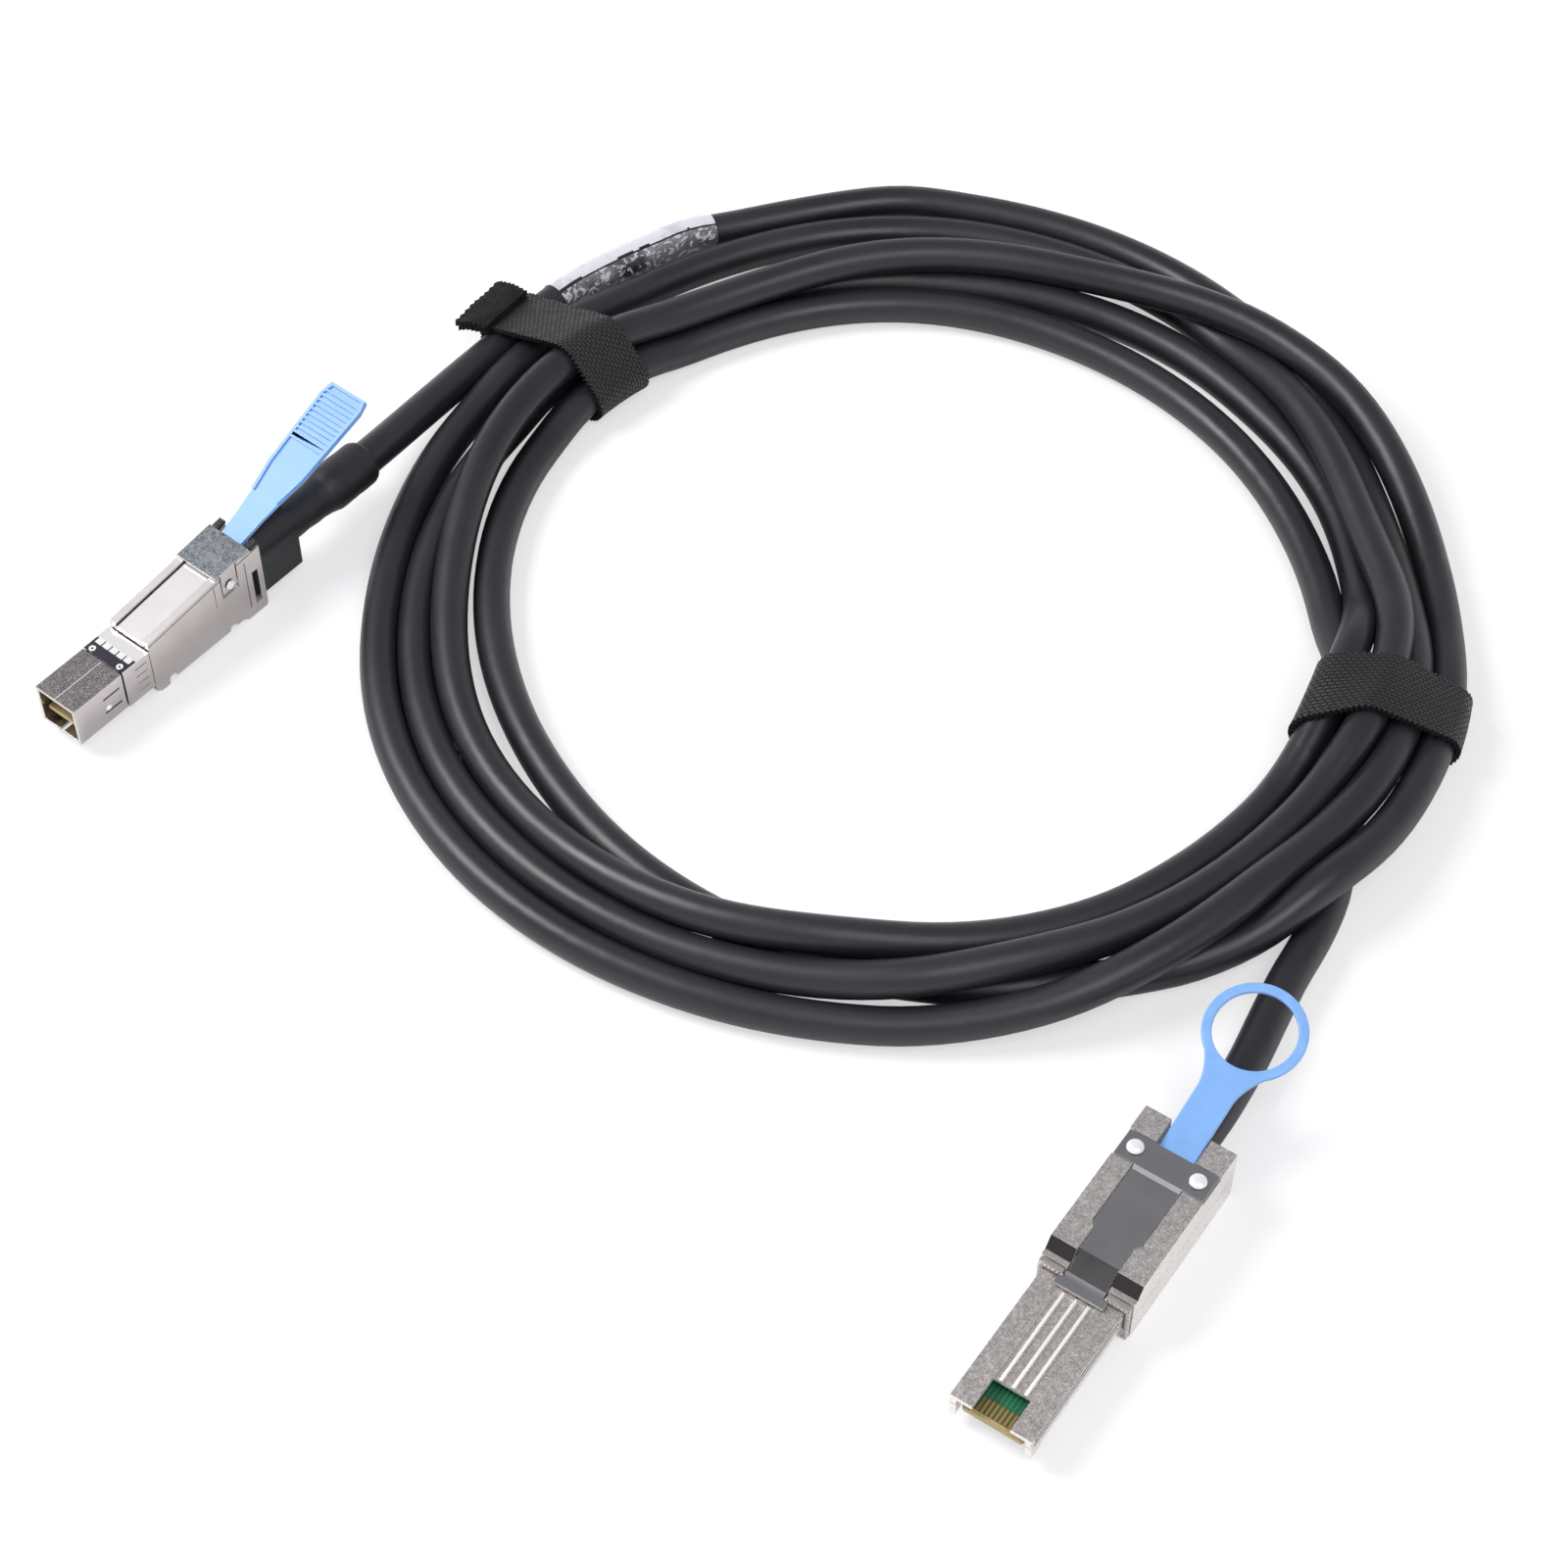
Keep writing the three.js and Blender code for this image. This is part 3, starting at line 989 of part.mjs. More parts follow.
function coilRing() {
  const sections = [];
  for (let i = 0; i < COIL_STATIONS; i += 1) {
    const degrees = -(i / COIL_STATIONS) * 360;
    const section = [];
    for (let k = 0; k < COIL_SECTION_POINTS; k += 1) {
      section.push(sectionPoint(degrees, ((k + 0.5) / COIL_SECTION_POINTS) * Math.PI * 2, 0));
    }
    sections.push(section);
  }
  return closedLoft(sections);
}

// A strap: a flat band that follows the bundle's section, as wide as the strap along the coil
function strapBand(degrees) {
  const low = GAP + STRAP_SLACK;
  const spread = THREE.MathUtils.radToDeg(STRAP_W / sectionAt(degrees).r);
  const stationAt = (k) => degrees + spread * (k / (STRAP_STATIONS - 1) - 0.5);
  const sections = [];
  for (let i = 0; i < STRAP_SEGMENTS; i += 1) {
    const turn = -(i / STRAP_SEGMENTS) * Math.PI * 2;
    const section = [];
    for (let k = 0; k < STRAP_STATIONS; k += 1) {
      section.push(sectionPoint(stationAt(k), turn, low));
    }
    for (let k = STRAP_STATIONS - 1; k >= 0; k -= 1) {
      section.push(sectionPoint(stationAt(k), turn, low + STRAP_T));
    }
    sections.push(section);
  }
  return closedLoft(sections);
}

// The loose end of the left strap, standing off the coil's outer side
function strapTail(degrees) {
  const s = sectionAt(degrees);
  const start = s.r + s.halfW + GAP + STRAP_SLACK + STRAP_T / 2;
  const g = block(start, start + TAIL_L, -STRAP_W / 2 + GAP, STRAP_W / 2 - GAP, TAIL_Z, TAIL_Z + TAIL_T);
  return g.rotateZ(ringAngle(degrees)).translate(COIL_CENTRE.x, COIL_CENTRE.y, 0);
}

const leftCurve = routeCurve([
  placed(TALL_PLACE, -2 * GAP - BOOT_L, TALL_CABLE_Z),
  placed(TALL_PLACE, -2 * GAP - BOOT_L - SLEEVE_L / 2, TALL_CABLE_Z - 0.6), ...LEFT_LEAD,
]);
const rightCurve = routeCurve([
  placed(WIDE_PLACE, WIDE_WALL, wideCableZ), placed(WIDE_PLACE, -1.5, wideCableZ), ...RIGHT_LEAD,
]);
const labelCurve = routeCurve(LABEL_PATH);

// A short rod that carries a tube on past its end
function endCap(curve, radius, length) {
  const end = curve.getPoint(1);
  const along = curve.getTangent(1);
  const g = new THREE.CylinderGeometry(radius, radius, 2 * length, CABLE_SIDES);
  g.applyQuaternion(new THREE.Quaternion().setFromUnitVectors(new THREE.Vector3(0, 1, 0), along));
  return g.translate(end.x, end.y, end.z);
}

function sleeve() {
  const start = leftCurve.getPoint(0);
  const along = new THREE.Vector3(...placed(TALL_PLACE, -2 * GAP - BOOT_L - SLEEVE_L, TALL_CABLE_Z - 1.2)).sub(start);
  const profile = [[0, 0], ...SLEEVE_PROFILE.map(([t, r]) => [r, t * SLEEVE_L]), [0, SLEEVE_L]];
  const g = new THREE.LatheGeometry(profile.map(([r, h]) => new THREE.Vector2(r, h)), 24);
  g.applyQuaternion(new THREE.Quaternion().setFromUnitVectors(new THREE.Vector3(0, 1, 0), along.clone().normalize()));
  g.translate(start.x, start.y, start.z);
  return cut(g, tube(leftCurve, CABLE_D / 2 + GAP));
}

// The same route with both ends carried on by a short way
function stretched(points, by) {
  const ends = [[points[1], points[0]], [points[points.length - 2], points[points.length - 1]]];
  const [first, last] = ends.map(([a, b]) => {
    const d = Math.hypot(b[0] - a[0], b[1] - a[1], b[2] - a[2]);
    return b.map((v, i) => v + ((v - a[i]) / d) * by);
  });
  return [first, ...points, last];
}

function coil() {
  const cableR = CABLE_D / 2;
  const pocket = tube(routeCurve(stretched(LABEL_PATH, GAP)), cableR + LABEL_T + GAP, LABEL_SIDES, LABEL_STEP);
  const leads = [leftCurve, rightCurve].map((curve) => (
    joined(tube(curve, cableR + GAP), endCap(curve, cableR + GAP, GAP))
  ));
  return largestBody(cut(coilRing(), pocket, ...leads));
}

const cable = new THREE.Group();
cable.add(place(widePlug(), WIDE_PLACE));
cable.add(place(tallPlug(), TALL_PLACE));
piece(cable, 'heat_shrink_sleeve', sleeve(), BLACK_RUBBER);
piece(cable, 'cable_left_lead', tube(leftCurve, CABLE_D / 2), BLACK_RUBBER);
piece(cable, 'cable_right_lead', tube(rightCurve, CABLE_D / 2), BLACK_RUBBER);
piece(cable, 'cable_coil', coil(), BLACK_RUBBER);
piece(cable, 'cable_label', tube(labelCurve, CABLE_D / 2 + LABEL_T, LABEL_SIDES, LABEL_STEP), LABEL_FILM);
Object.entries(STRAP_ANGLES).forEach(([name, degrees]) => {
  const band = strapBand(degrees);
  piece(cable, name, name === 'strap_left' ? joined(band, strapTail(degrees)) : band, STRAP_WEAVE);
});

export default cable;
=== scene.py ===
# An external storage cable: one round black cable, coiled and tied with two woven straps,
# with a wide latch plug at one end and a tall latch plug at the other, on a pale studio floor.

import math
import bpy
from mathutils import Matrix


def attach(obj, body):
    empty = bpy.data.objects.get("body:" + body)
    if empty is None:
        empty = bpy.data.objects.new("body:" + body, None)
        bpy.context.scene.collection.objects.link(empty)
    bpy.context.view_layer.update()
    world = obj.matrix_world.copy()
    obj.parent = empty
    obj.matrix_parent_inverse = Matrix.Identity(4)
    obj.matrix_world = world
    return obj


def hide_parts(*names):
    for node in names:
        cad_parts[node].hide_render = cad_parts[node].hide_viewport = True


bl_info = {
    "name": "External storage cable",
    "version": (1, 0, 0),
    "blender": (4, 5, 0),
    "location": "3D View > Sidebar > Storage cable",
    "description": "Dresses the solid model of a coiled storage cable and its two latch plugs",
    "category": "Object",
}

import bmesh
import bpy
import numpy as np
from bpy.props import FloatProperty, FloatVectorProperty, IntProperty, PointerProperty
from mathutils import Matrix, Vector, noise

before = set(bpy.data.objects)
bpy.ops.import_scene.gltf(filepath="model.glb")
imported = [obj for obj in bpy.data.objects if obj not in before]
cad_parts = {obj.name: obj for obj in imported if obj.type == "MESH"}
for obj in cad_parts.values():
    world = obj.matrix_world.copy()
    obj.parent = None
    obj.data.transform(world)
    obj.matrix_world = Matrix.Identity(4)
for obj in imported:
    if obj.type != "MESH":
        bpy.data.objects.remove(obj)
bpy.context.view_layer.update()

# Sizes in the lists and plug drawings below are millimetres
MM = 0.001
MAIN_BODY = "cable_body"

# Where each plug lies: x and y of the back of its body, and the heading of its nose in degrees
PLUGS = {"wide": (114.8, -64.8, -124.4), "tall": (-97.1, 98.5, -129.0)}

# Edges sharper than this many degrees stay sharp, or are rounded where a piece has rounded edges
SMOOTH_ANGLE = 38.0
EDGE_ANGLE = 30.0

# Cable route, as x, y and the height of the cable's centre
JACKET_D = 8.8
WIDE_CABLE_Z = 6.0
TALL_CABLE_Z = 12.8
BOOT_END_X = -13.3
SLEEVE_LENGTH = 28.0
ROUTE_STEP = 4.4
LEFT_LEAD = [(-71.4, 130.8, 11.6), (-64.6, 141.8, 9.8), (-56.2, 155.2, 7.9), (-46.8, 169.0, 6.6)]
LABEL_PATH = [(-25.4, 196.8, 5.4), (-15.0, 205.6, 5.4), (-3.6, 213.4, 5.4), (7.2, 219.6, 5.4)]
RIGHT_LEAD = [(121.0, -55.8, 5.6), (129.6, -40.6, 4.6), (134.6, -30.4, 4.5), (140.2, -19.2, 4.5),
              (146.4, -8.4, 4.5), (151.5, 3.0, 4.5)]
COIL_CENTRE = (60.0, 99.0)
COIL_OVAL = (124.0, 117.0)

# The angles round the coil where a strap lifts the strands, and the upright sections that the
# straps go round, as x, y and the section's heading in degrees
STRAP_ANGLES = (139.0, -22.0)
STRAP_SECTIONS = {"strap_left": (COIL_CENTRE[0] - 84.5, COIL_CENTRE[1] + 73.5, 139.0),
                  "strap_right": (COIL_CENTRE[0] + 104.0, COIL_CENTRE[1] - 46.5, -8.0)}
STRAP_LIFT = 2.4
STRAP_LIFT_SPREAD = 11.0
STRAP_CLEARANCE = 0.35
STRAP_TOOTH = 0.36
TAIL_TOOTH = 0.25
TAIL_LENGTH = 9.5
TAIL_TURN = 6

# The five turns, clockwise from the left lead to the right one. Each place is an angle in degrees,
# then how far outside the oval the strand lies and how high above the floor, in cable diameters.
TURNS = [
    [(90, 2.0, 0), (60, 1.2, 0), (30, -0.1, 0), (15, -0.75, 0.35), (0, -1.15, 0.87),
     (-15, -0.1, 0.87), (-30, 0.25, 0.87), (-45, 0.6, 0.95), (-60, 1.0, 1.1), (-75, 1.3, 0.6),
     (-90, 1.4, 0.15), (-120, 1.2, 0), (-150, 0.8, 0), (-180, -0.25, 0)],
    [(150, -0.1, 0), (120, 0.15, 0), (90, 0.75, 0), (60, 0, 0), (50, -0.35, 0), (42, -0.95, 0.25),
     (34, -1.45, 0.85), (20, -1.9, 0.95), (0, -2.1, 0.95), (-7, -1.6, 1.05), (-16, -0.95, 1.0),
     (-30, -0.75, 0.95), (-45, -0.6, 0.9), (-60, -0.25, 0.85), (-75, 0.3, 0.95), (-90, 0.7, 1.0),
     (-105, 0.75, 0.95), (-120, 0.6, 0.9), (-135, 0.45, 0.9), (-150, 0.1, 0.8), (-165, -0.55, 0.4),
     (-180, -1.2, 0)],
    [(165, -1.6, 0), (150, -1.8, 0), (120, -1.6, 0), (90, -1.5, 0), (60, -1.4, 0), (30, -1.5, 0),
     (0, -1.6, 0), (-8, -1.6, 0.4), (-17, -1.75, 1.0), (-30, -1.73, 0.3), (-45, -1.5, 0),
     (-60, -1.2, 0.1), (-75, -0.75, 0.5), (-90, -0.35, 0.85), (-105, -0.15, 0.95),
     (-120, -0.3, 0.95), (-135, -0.6, 0.85), (-150, -0.85, 0.85), (-165, -1.3, 0.9),
     (-180, -1.65, 0.9)],
    [(165, -1.6, 1.0), (150, -1.5, 1.1), (139, -1.7, 1.0), (120, -2.05, 0.9), (90, -1.42, 1),
     (60, -1.05, 1), (47, -0.7, 1.15), (30, -0.3, 1), (15, 0, 0.6), (0, -0.05, 0.1), (-15, 0.5, 0),
     (-30, 1.0, 0.4), (-45, 1.45, 1), (-60, 1.2, 0.15), (-75, 0.9, 0), (-90, 0.35, 0),
     (-105, -0.3, 0), (-120, -1.0, 0), (-150, -2.4, 0), (-180, -2.92, 0)],
    [(150, -2.69, 0), (120, -2.65, 0), (90, -2.45, 0), (60, -2.95, 0), (30, -3.2, 0),
     (0, -2.65, 0), (-15, -1.75, 0), (-30, -0.5, 0)],
]

# The route's first points, which hold the left lead, its last ones, which hold the right lead, and
# how many neighbours of a point belong to its own strand
LEFT_STEPS = 120
RIGHT_STEPS = 60
NEIGHBOURS = 6

# How the route settles: the pull to its target in the first steps and in the last ones, the sag of
# a step, the push between strands that touch, the share that is eased, and the cable's stiffness
SETTLE_STEPS = 260
SETTLE_PULLS = (0.03, 0.009)
SETTLE_SAG = 0.1
SETTLE_PUSH = 1.6
SETTLE_EASE = 0.28
SETTLE_STIFFNESS = 0.95

# Where the label's white side ends and how far the gap beside it goes, in degrees round the cable
LABEL_START = -70
LABEL_EDGE = 111.0
LABEL_GAP = 9


def colour_setting(name, about, default):
    return FloatVectorProperty(name=name, description=about, subtype="COLOR", size=3, default=default)


def length_setting(name, about, default):
    return FloatProperty(name=name, description=about, default=default, unit="LENGTH")


class CableSettings(bpy.types.PropertyGroup):
    """Sizes and colours of the cable and what is on it."""

    diameter: length_setting("Cable diameter", "Across the jacket", JACKET_D * MM)
    jacket: colour_setting("Jacket", "Colour of the jacket", (0.0105, 0.0105, 0.0135))
    sleeve: colour_setting("Sleeve", "Colour of the sleeve and the boot", (0.010, 0.010, 0.012))
    label: colour_setting("Label", "Colour of the wrapped film", (0.60, 0.60, 0.65))
    ripple: length_setting("Ripple", "Height of the jacket's faint waves", 0.00022)


class StrapSettings(bpy.types.PropertyGroup):
    """Sizes and colour of the two straps."""

    width: length_setting("Strap width", "Along the cable", 0.016)
    thickness: length_setting("Strap thickness", "Of the woven band", 0.0013)
    tooth: length_setting("Edge tooth", "Pitch of the cut threads on the edge", 0.0012)
    weave: colour_setting("Weave", "Colour of the straps", (0.008, 0.008, 0.009))


class PlugSettings(bpy.types.PropertyGroup):
    """Sizes and colours of the two plugs."""

    edge: length_setting("Cast edge", "Rounding of the cast edges", 0.00018)
    fold: length_setting("Sheet edge", "Rounding of the sheet metal edges", 0.00012)
    pads: IntProperty(name="Contacts", description="Gold contacts on the wide plug's card", default=13,
                      min=2)
    cast: colour_setting("Cast metal", "Colour of the cast halves", (0.62, 0.585, 0.56))
    plated: colour_setting("Plated metal", "Colour of the plated sheet", (0.57, 0.525, 0.515))
    tab: colour_setting("Tab", "Colour of the pull tabs", (0.19, 0.375, 0.72))


class StageSettings(bpy.types.PropertyGroup):
    """The floor, lamps and camera."""

    floor: colour_setting("Floor", "Colour of the floor", (0.93, 0.93, 0.935))
    key: FloatProperty(name="Key lamp", description="Power of the large lamp overhead", default=12.5,
                       subtype="POWER")
    fill: FloatProperty(name="Fill lamp", description="Power of the lamp in front", default=6.5,
                        subtype="POWER")
    lens: FloatProperty(name="Lens", description="Focal length for the photograph's view", default=76.59)


class CablePanelSettings(bpy.types.PropertyGroup):
    """All settings of the cable."""

    cable: PointerProperty(type=CableSettings)
    strap: PointerProperty(type=StrapSettings)
    plug: PointerProperty(type=PlugSettings)
    stage: PointerProperty(type=StageSettings)


def settings():
    return bpy.context.scene.storage_cable


# Materials

class Finish:
    """A material being made, with short ways to add and join its nodes."""

    def __init__(self, name):
        self.material = bpy.data.materials.new(name)
        self.material.use_nodes = True
        self.tree = self.material.node_tree
        self.shader = self.tree.nodes["Principled BSDF"]
        self.place = self.add("ShaderNodeTexCoord").outputs["Object"]

    def add(self, kind, values=None, **options):
        node = self.tree.nodes.new(kind)
        for key, value in options.items():
            setattr(node, key, value)
        for key, value in (values or {}).items():
            self.put(node.inputs[key], value)
        return node

    def put(self, socket, value):
        if isinstance(value, bpy.types.NodeSocket):
            self.tree.links.new(value, socket)
        elif socket.type == "RGBA" and len(value) == 3:
            socket.default_value = (*value, 1.0)
        else:
            socket.default_value = value

    def set(self, **values):
        for key, value in values.items():
            self.put(self.shader.inputs[key.replace("_", " ")], value)

    def noise(self, size_mm, detail=2.0, distortion=0.0, place=None):
        values = {"Vector": place or self.place, "Scale": 1.0 / (size_mm * MM), "Detail": detail,
                  "Distortion": distortion}
        return self.add("ShaderNodeTexNoise", values).outputs[0]

    def spread(self, value, low, high, to_low=0.0, to_high=1.0):
        values = {"Value": value, "From Min": low, "From Max": high, "To Min": to_low,
                  "To Max": to_high}
        return self.add("ShaderNodeMapRange", values).outputs[0]

    def mix(self, amount, first, second):
        values = {0: amount, 6: first, 7: second}
        return self.add("ShaderNodeMix", values, data_type="RGBA").outputs[2]

    def bump(self, height, rise_mm, strength=1.0, after=None):
        values = {"Height": height, "Distance": rise_mm * MM, "Strength": strength}
        if after is not None:
            values["Normal"] = after
        return self.add("ShaderNodeBump", values).outputs["Normal"]


def shade(colour, amount):
    return tuple(min(1.0, c * amount) for c in colour)


def cast_metal(name, colour, grain_mm=0.35, contrast=0.28, roughness=0.36):
    """Die-cast metal with a fine speckled grain under its plating."""
    f = Finish(name)
    grain = f.noise(grain_mm, 3.0)
    cloud = f.noise(6.0, 2.0)
    speckle = f.spread(grain, 0.38, 0.64)
    base = f.mix(speckle, shade(colour, 1 - contrast), shade(colour, 1 + contrast))
    f.set(Base_Color=f.mix(f.spread(cloud, 0.3, 0.7, 0.0, 0.25), base, shade(colour, 0.8)),
          Roughness=f.spread(f.noise(1.2, 3.0), 0.3, 0.7, roughness - 0.08, roughness + 0.1),
          Metallic=0.92, Normal=f.bump(grain, 0.05, 0.7))
    return f.material


def sheet_metal(name, colour, roughness, brushed_mm=0.0, heading=0.0, metal=1.0):
    """Plated or stainless sheet, plain or brushed along its piece."""
    f = Finish(name)
    cloud = f.noise(5.0, 3.0)
    normal = f.bump(f.noise(4.0, 1.0), 0.006, 0.3)
    if brushed_mm:
        values = {"Vector": f.place, "Rotation": (0, 0, -math.radians(heading)),
                  "Scale": (0.03, 1.0, 1.0)}
        turn = f.add("ShaderNodeMapping", values).outputs[0]
        normal = f.bump(f.noise(brushed_mm, 2.0, place=turn), 0.005, 0.4, normal)
    f.set(Base_Color=f.mix(f.spread(cloud, 0.35, 0.65, 0.0, 0.4), colour, shade(colour, 0.88)),
          Roughness=f.spread(f.noise(9.0, 1.0), 0.3, 0.7, roughness - 0.02, roughness + 0.03),
          Metallic=metal, Normal=normal)
    return f.material


def jacket_finish(name, colour, ripple, roughness=0.40):
    """Matt black jacket with faint waves from the lay of the wires under it."""
    f = Finish(name)
    slow = f.noise(30.0, 2.0)
    waves = f.noise(5.5, 1.0, 0.6)
    grain = f.noise(0.25, 2.0)
    f.set(Base_Color=f.mix(f.spread(slow, 0.3, 0.7), colour, shade(colour, 1.45)),
          Roughness=f.spread(slow, 0.3, 0.7, roughness - 0.05, roughness + 0.06),
          Specular_IOR_Level=0.5,
          Normal=f.bump(grain, 0.012, 0.5, f.bump(waves, ripple / MM, 0.5)))
    return f.material


def moulded_finish(name, colour, roughness=0.42, grain_mm=0.4, depth=0.01, soft=0.0):
    """Moulded plastic or rubber with a light grain and slightly uneven gloss."""
    f = Finish(name)
    cloud = f.noise(4.0, 2.0)
    f.set(Base_Color=f.mix(f.spread(cloud, 0.3, 0.7), shade(colour, 0.95), shade(colour, 1.05)),
          Roughness=f.spread(cloud, 0.3, 0.7, roughness - 0.04, roughness + 0.05),
          Normal=f.bump(f.noise(grain_mm, 2.0), depth, 0.5))
    if soft:
        f.set(Subsurface_Weight=soft, Subsurface_Radius=(0.3, 0.6, 1.0), Subsurface_Scale=0.0015)
    return f.material


def weave_finish(name, colour):
    """Woven hook-and-loop band: short threads, read from the band's own map in millimetres."""
    f = Finish(name)
    across = f.add("ShaderNodeUVMap", uv_map="band").outputs[0]
    threads = f.add("ShaderNodeTexBrick", {
        "Vector": across, "Scale": 1.0, "Mortar Size": 0.2, "Mortar Smooth": 0.5, "Brick Width": 1.5,
        "Row Height": 0.9, "Color1": (1, 1, 1, 1), "Color2": (0.7, 0.7, 0.7, 1), "Mortar": (0, 0, 0, 1),
    }, offset=0.5)
    height = threads.outputs["Color"]
    fuzz = f.noise(0.3, 3.0)
    # Threads painted pale as a highlight and the gaps between them near black as painted shade.
    f.set(Base_Color=f.mix(height, shade(colour, 0.1), shade(colour, 2.8)),
          Roughness=f.spread(height, 0.0, 1.0, 0.9, 0.32), Specular_IOR_Level=0.5,
          Normal=f.bump(fuzz, 0.08, 0.4, f.bump(height, 0.35, 1.0)))
    return f.material


def pile_finish(name, colour):
    """The fuzzy loop side of a strap."""
    f = Finish(name)
    fuzz = f.noise(0.5, 4.0, 1.5)
    f.set(Base_Color=f.mix(f.spread(fuzz, 0.42, 0.66), shade(colour, 0.2), shade(colour, 3.2)),
          Roughness=0.85, Specular_IOR_Level=0.25, Normal=f.bump(fuzz, 0.9, 1.0))
    return f.material


def film_finish(name, colour):
    """Crinkled clear film over a white label."""
    f = Finish(name)
    folds = f.noise(7.0, 2.0, 0.8)
    f.set(Base_Color=f.mix(f.spread(folds, 0.5, 0.62), colour, shade(colour, 0.82)), Roughness=0.24,
          Coat_Weight=0.4, Normal=f.bump(folds, 0.25, 0.6))
    return f.material


def clear_wrap_finish(name, colour):
    """Crinkled film over the black jacket: mostly dark, with painted pale glints along the creases."""
    f = Finish(name)
    folds = f.noise(4.5, 2.0, 3.0)
    crease = f.spread(folds, 0.54, 0.58)
    haze = f.mix(f.spread(f.noise(9.0, 1.0), 0.4, 0.6), shade(colour, 0.05), shade(colour, 0.3))
    # The pale band along the creases is a painted glint.
    f.set(Base_Color=f.mix(crease, haze, shade(colour, 0.85)), Roughness=0.22,
          Coat_Weight=0.4, Normal=f.bump(folds, 0.5, 0.8))
    return f.material


# Mesh helpers

def plug_matrix(plug):
    """From a plug's own millimetres, nose along +X, to the cable's frame in metres."""
    x, y, heading = PLUGS[plug]
    turn = Matrix.Rotation(math.radians(heading), 4, "Z")
    return Matrix.Translation((x * MM, y * MM, 0)) @ turn @ Matrix.Scale(MM, 4)


def placed(plug, x, z):
    spot = plug_matrix(plug) @ Vector((x, 0, z))
    return tuple(c / MM for c in spot)


def linked(name, data):
    """A new object in the scene."""
    piece = bpy.data.objects.new(name, data)
    bpy.context.scene.collection.objects.link(piece)
    return piece


def mesh_object(name, bm, materials, smooth_angle=SMOOTH_ANGLE):
    """A finished mesh object at the origin from a bmesh in metres."""
    mesh = bpy.data.meshes.new(name)
    bm.to_mesh(mesh)
    bm.free()
    for material in materials:
        mesh.materials.append(material)
    piece = linked(name, mesh)
    smooth(piece, smooth_angle)
    return piece


def smooth(piece, angle=SMOOTH_ANGLE):
    mesh = piece.data
    mesh.polygons.foreach_set("use_smooth", [True] * len(mesh.polygons))
    mesh.set_sharp_from_angle(angle=math.radians(angle))


def settled(piece):
    """Turns what a piece's modifiers make into its plain mesh."""
    graph = bpy.context.evaluated_depsgraph_get()
    made = bpy.data.meshes.new_from_object(piece.evaluated_get(graph))
    piece.modifiers.clear()
    old = piece.data
    piece.data = made
    bpy.data.meshes.remove(old)
    return piece


def rounded(piece, width, segments=2):
    """Rounds a piece's sharp edges."""
    modifier = piece.modifiers.new("edges", "BEVEL")
    modifier.width = width
    modifier.segments = segments
    modifier.limit_method = "ANGLE"
    modifier.angle_limit = math.radians(EDGE_ANGLE)
    modifier.use_clamp_overlap = True
    smooth(settled(piece))
    even = piece.modifiers.new("even_normals", "WEIGHTED_NORMAL")
    even.keep_sharp = True
    return settled(piece)


def softened(name, node, width, materials, segments=2):
    """A copy of a solid with its edges rounded."""
    bm = bmesh.new()
    bm.from_mesh(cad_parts[node].data)
    bmesh.ops.remove_doubles(bm, verts=bm.verts, dist=2e-6)
    bmesh.ops.dissolve_limit(bm, angle_limit=math.radians(1.0), verts=bm.verts, edges=bm.edges)
    return rounded(mesh_object(name, bm, materials), width, segments)


def paint(piece, plug, rule):
    """Gives each face the material that rule(centre, normal) names, in the plug's own millimetres."""
    back = plug_matrix(plug).inverted()
    turn = back.to_3x3().normalized()
    for face in piece.data.polygons:
        face.material_index = rule(back @ face.center, turn @ face.normal)


def show(piece, nodes=(), body=MAIN_BODY):
    """Puts a piece on its body and hides the solids that it stands for."""
    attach(piece, body)
    if nodes:
        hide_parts(*nodes)
    return piece


def dressed(name, node, finishes, width, segments=2, rule=None, body=MAIN_BODY):
    """Puts a rounded and painted copy of a plug's solid in place of it."""
    piece = softened(name, node, width, [metals()[finish] for finish in finishes], segments)
    if rule:
        paint(piece, node.split("_")[0], rule)
    return show(piece, [node], body)


def wall(bm, low, high):
    """Faces between two closed rings of corners."""
    for i in range(len(low)):
        j = (i + 1) % len(low)
        bm.faces.new((low[i], low[j], high[j], high[i]))


def circle(radius, count, start=0.0, sweep=2 * math.pi, steps=None):
    """Points round the origin, count of them, at even steps of the sweep."""
    angles = [start + sweep * k / (steps or count) for k in range(count)]
    return [(radius * math.cos(a), radius * math.sin(a)) for a in angles]


def slab(outline, low, high, hole=None):
    """A flat plate from an outline of x and y, between two heights, with one hole if it is given."""
    bm = bmesh.new()
    made = []
    for ring in [outline] + ([hole] if hole else []):
        bottom = [bm.verts.new((x, y, low)) for x, y in ring]
        top = [bm.verts.new((x, y, high)) for x, y in ring]
        wall(bm, bottom, top)
        made.append((bottom, top))
    for loops in zip(*made):
        if not hole:
            bm.faces.new(loops[0])
            continue
        edges = [bm.edges.get((a, b)) for loop in loops for a, b in zip(loop, loop[1:] + loop[:1])]
        bmesh.ops.triangle_fill(bm, use_beauty=True, edges=edges)
    bmesh.ops.recalc_face_normals(bm, faces=bm.faces)
    return bm


def block(size, rounding, segments=1, spot=(0, 0, 0)):
    """A small rounded block about a spot, in millimetres."""
    bm = bmesh.new()
    bmesh.ops.create_cube(bm, size=1.0)
    bmesh.ops.scale(bm, vec=size, verts=bm.verts)
    bmesh.ops.bevel(bm, geom=list(bm.edges), offset=rounding, segments=segments, profile=0.5,
                    affect="EDGES", clamp_overlap=True)
    bmesh.ops.translate(bm, vec=spot, verts=bm.verts)
    return bm


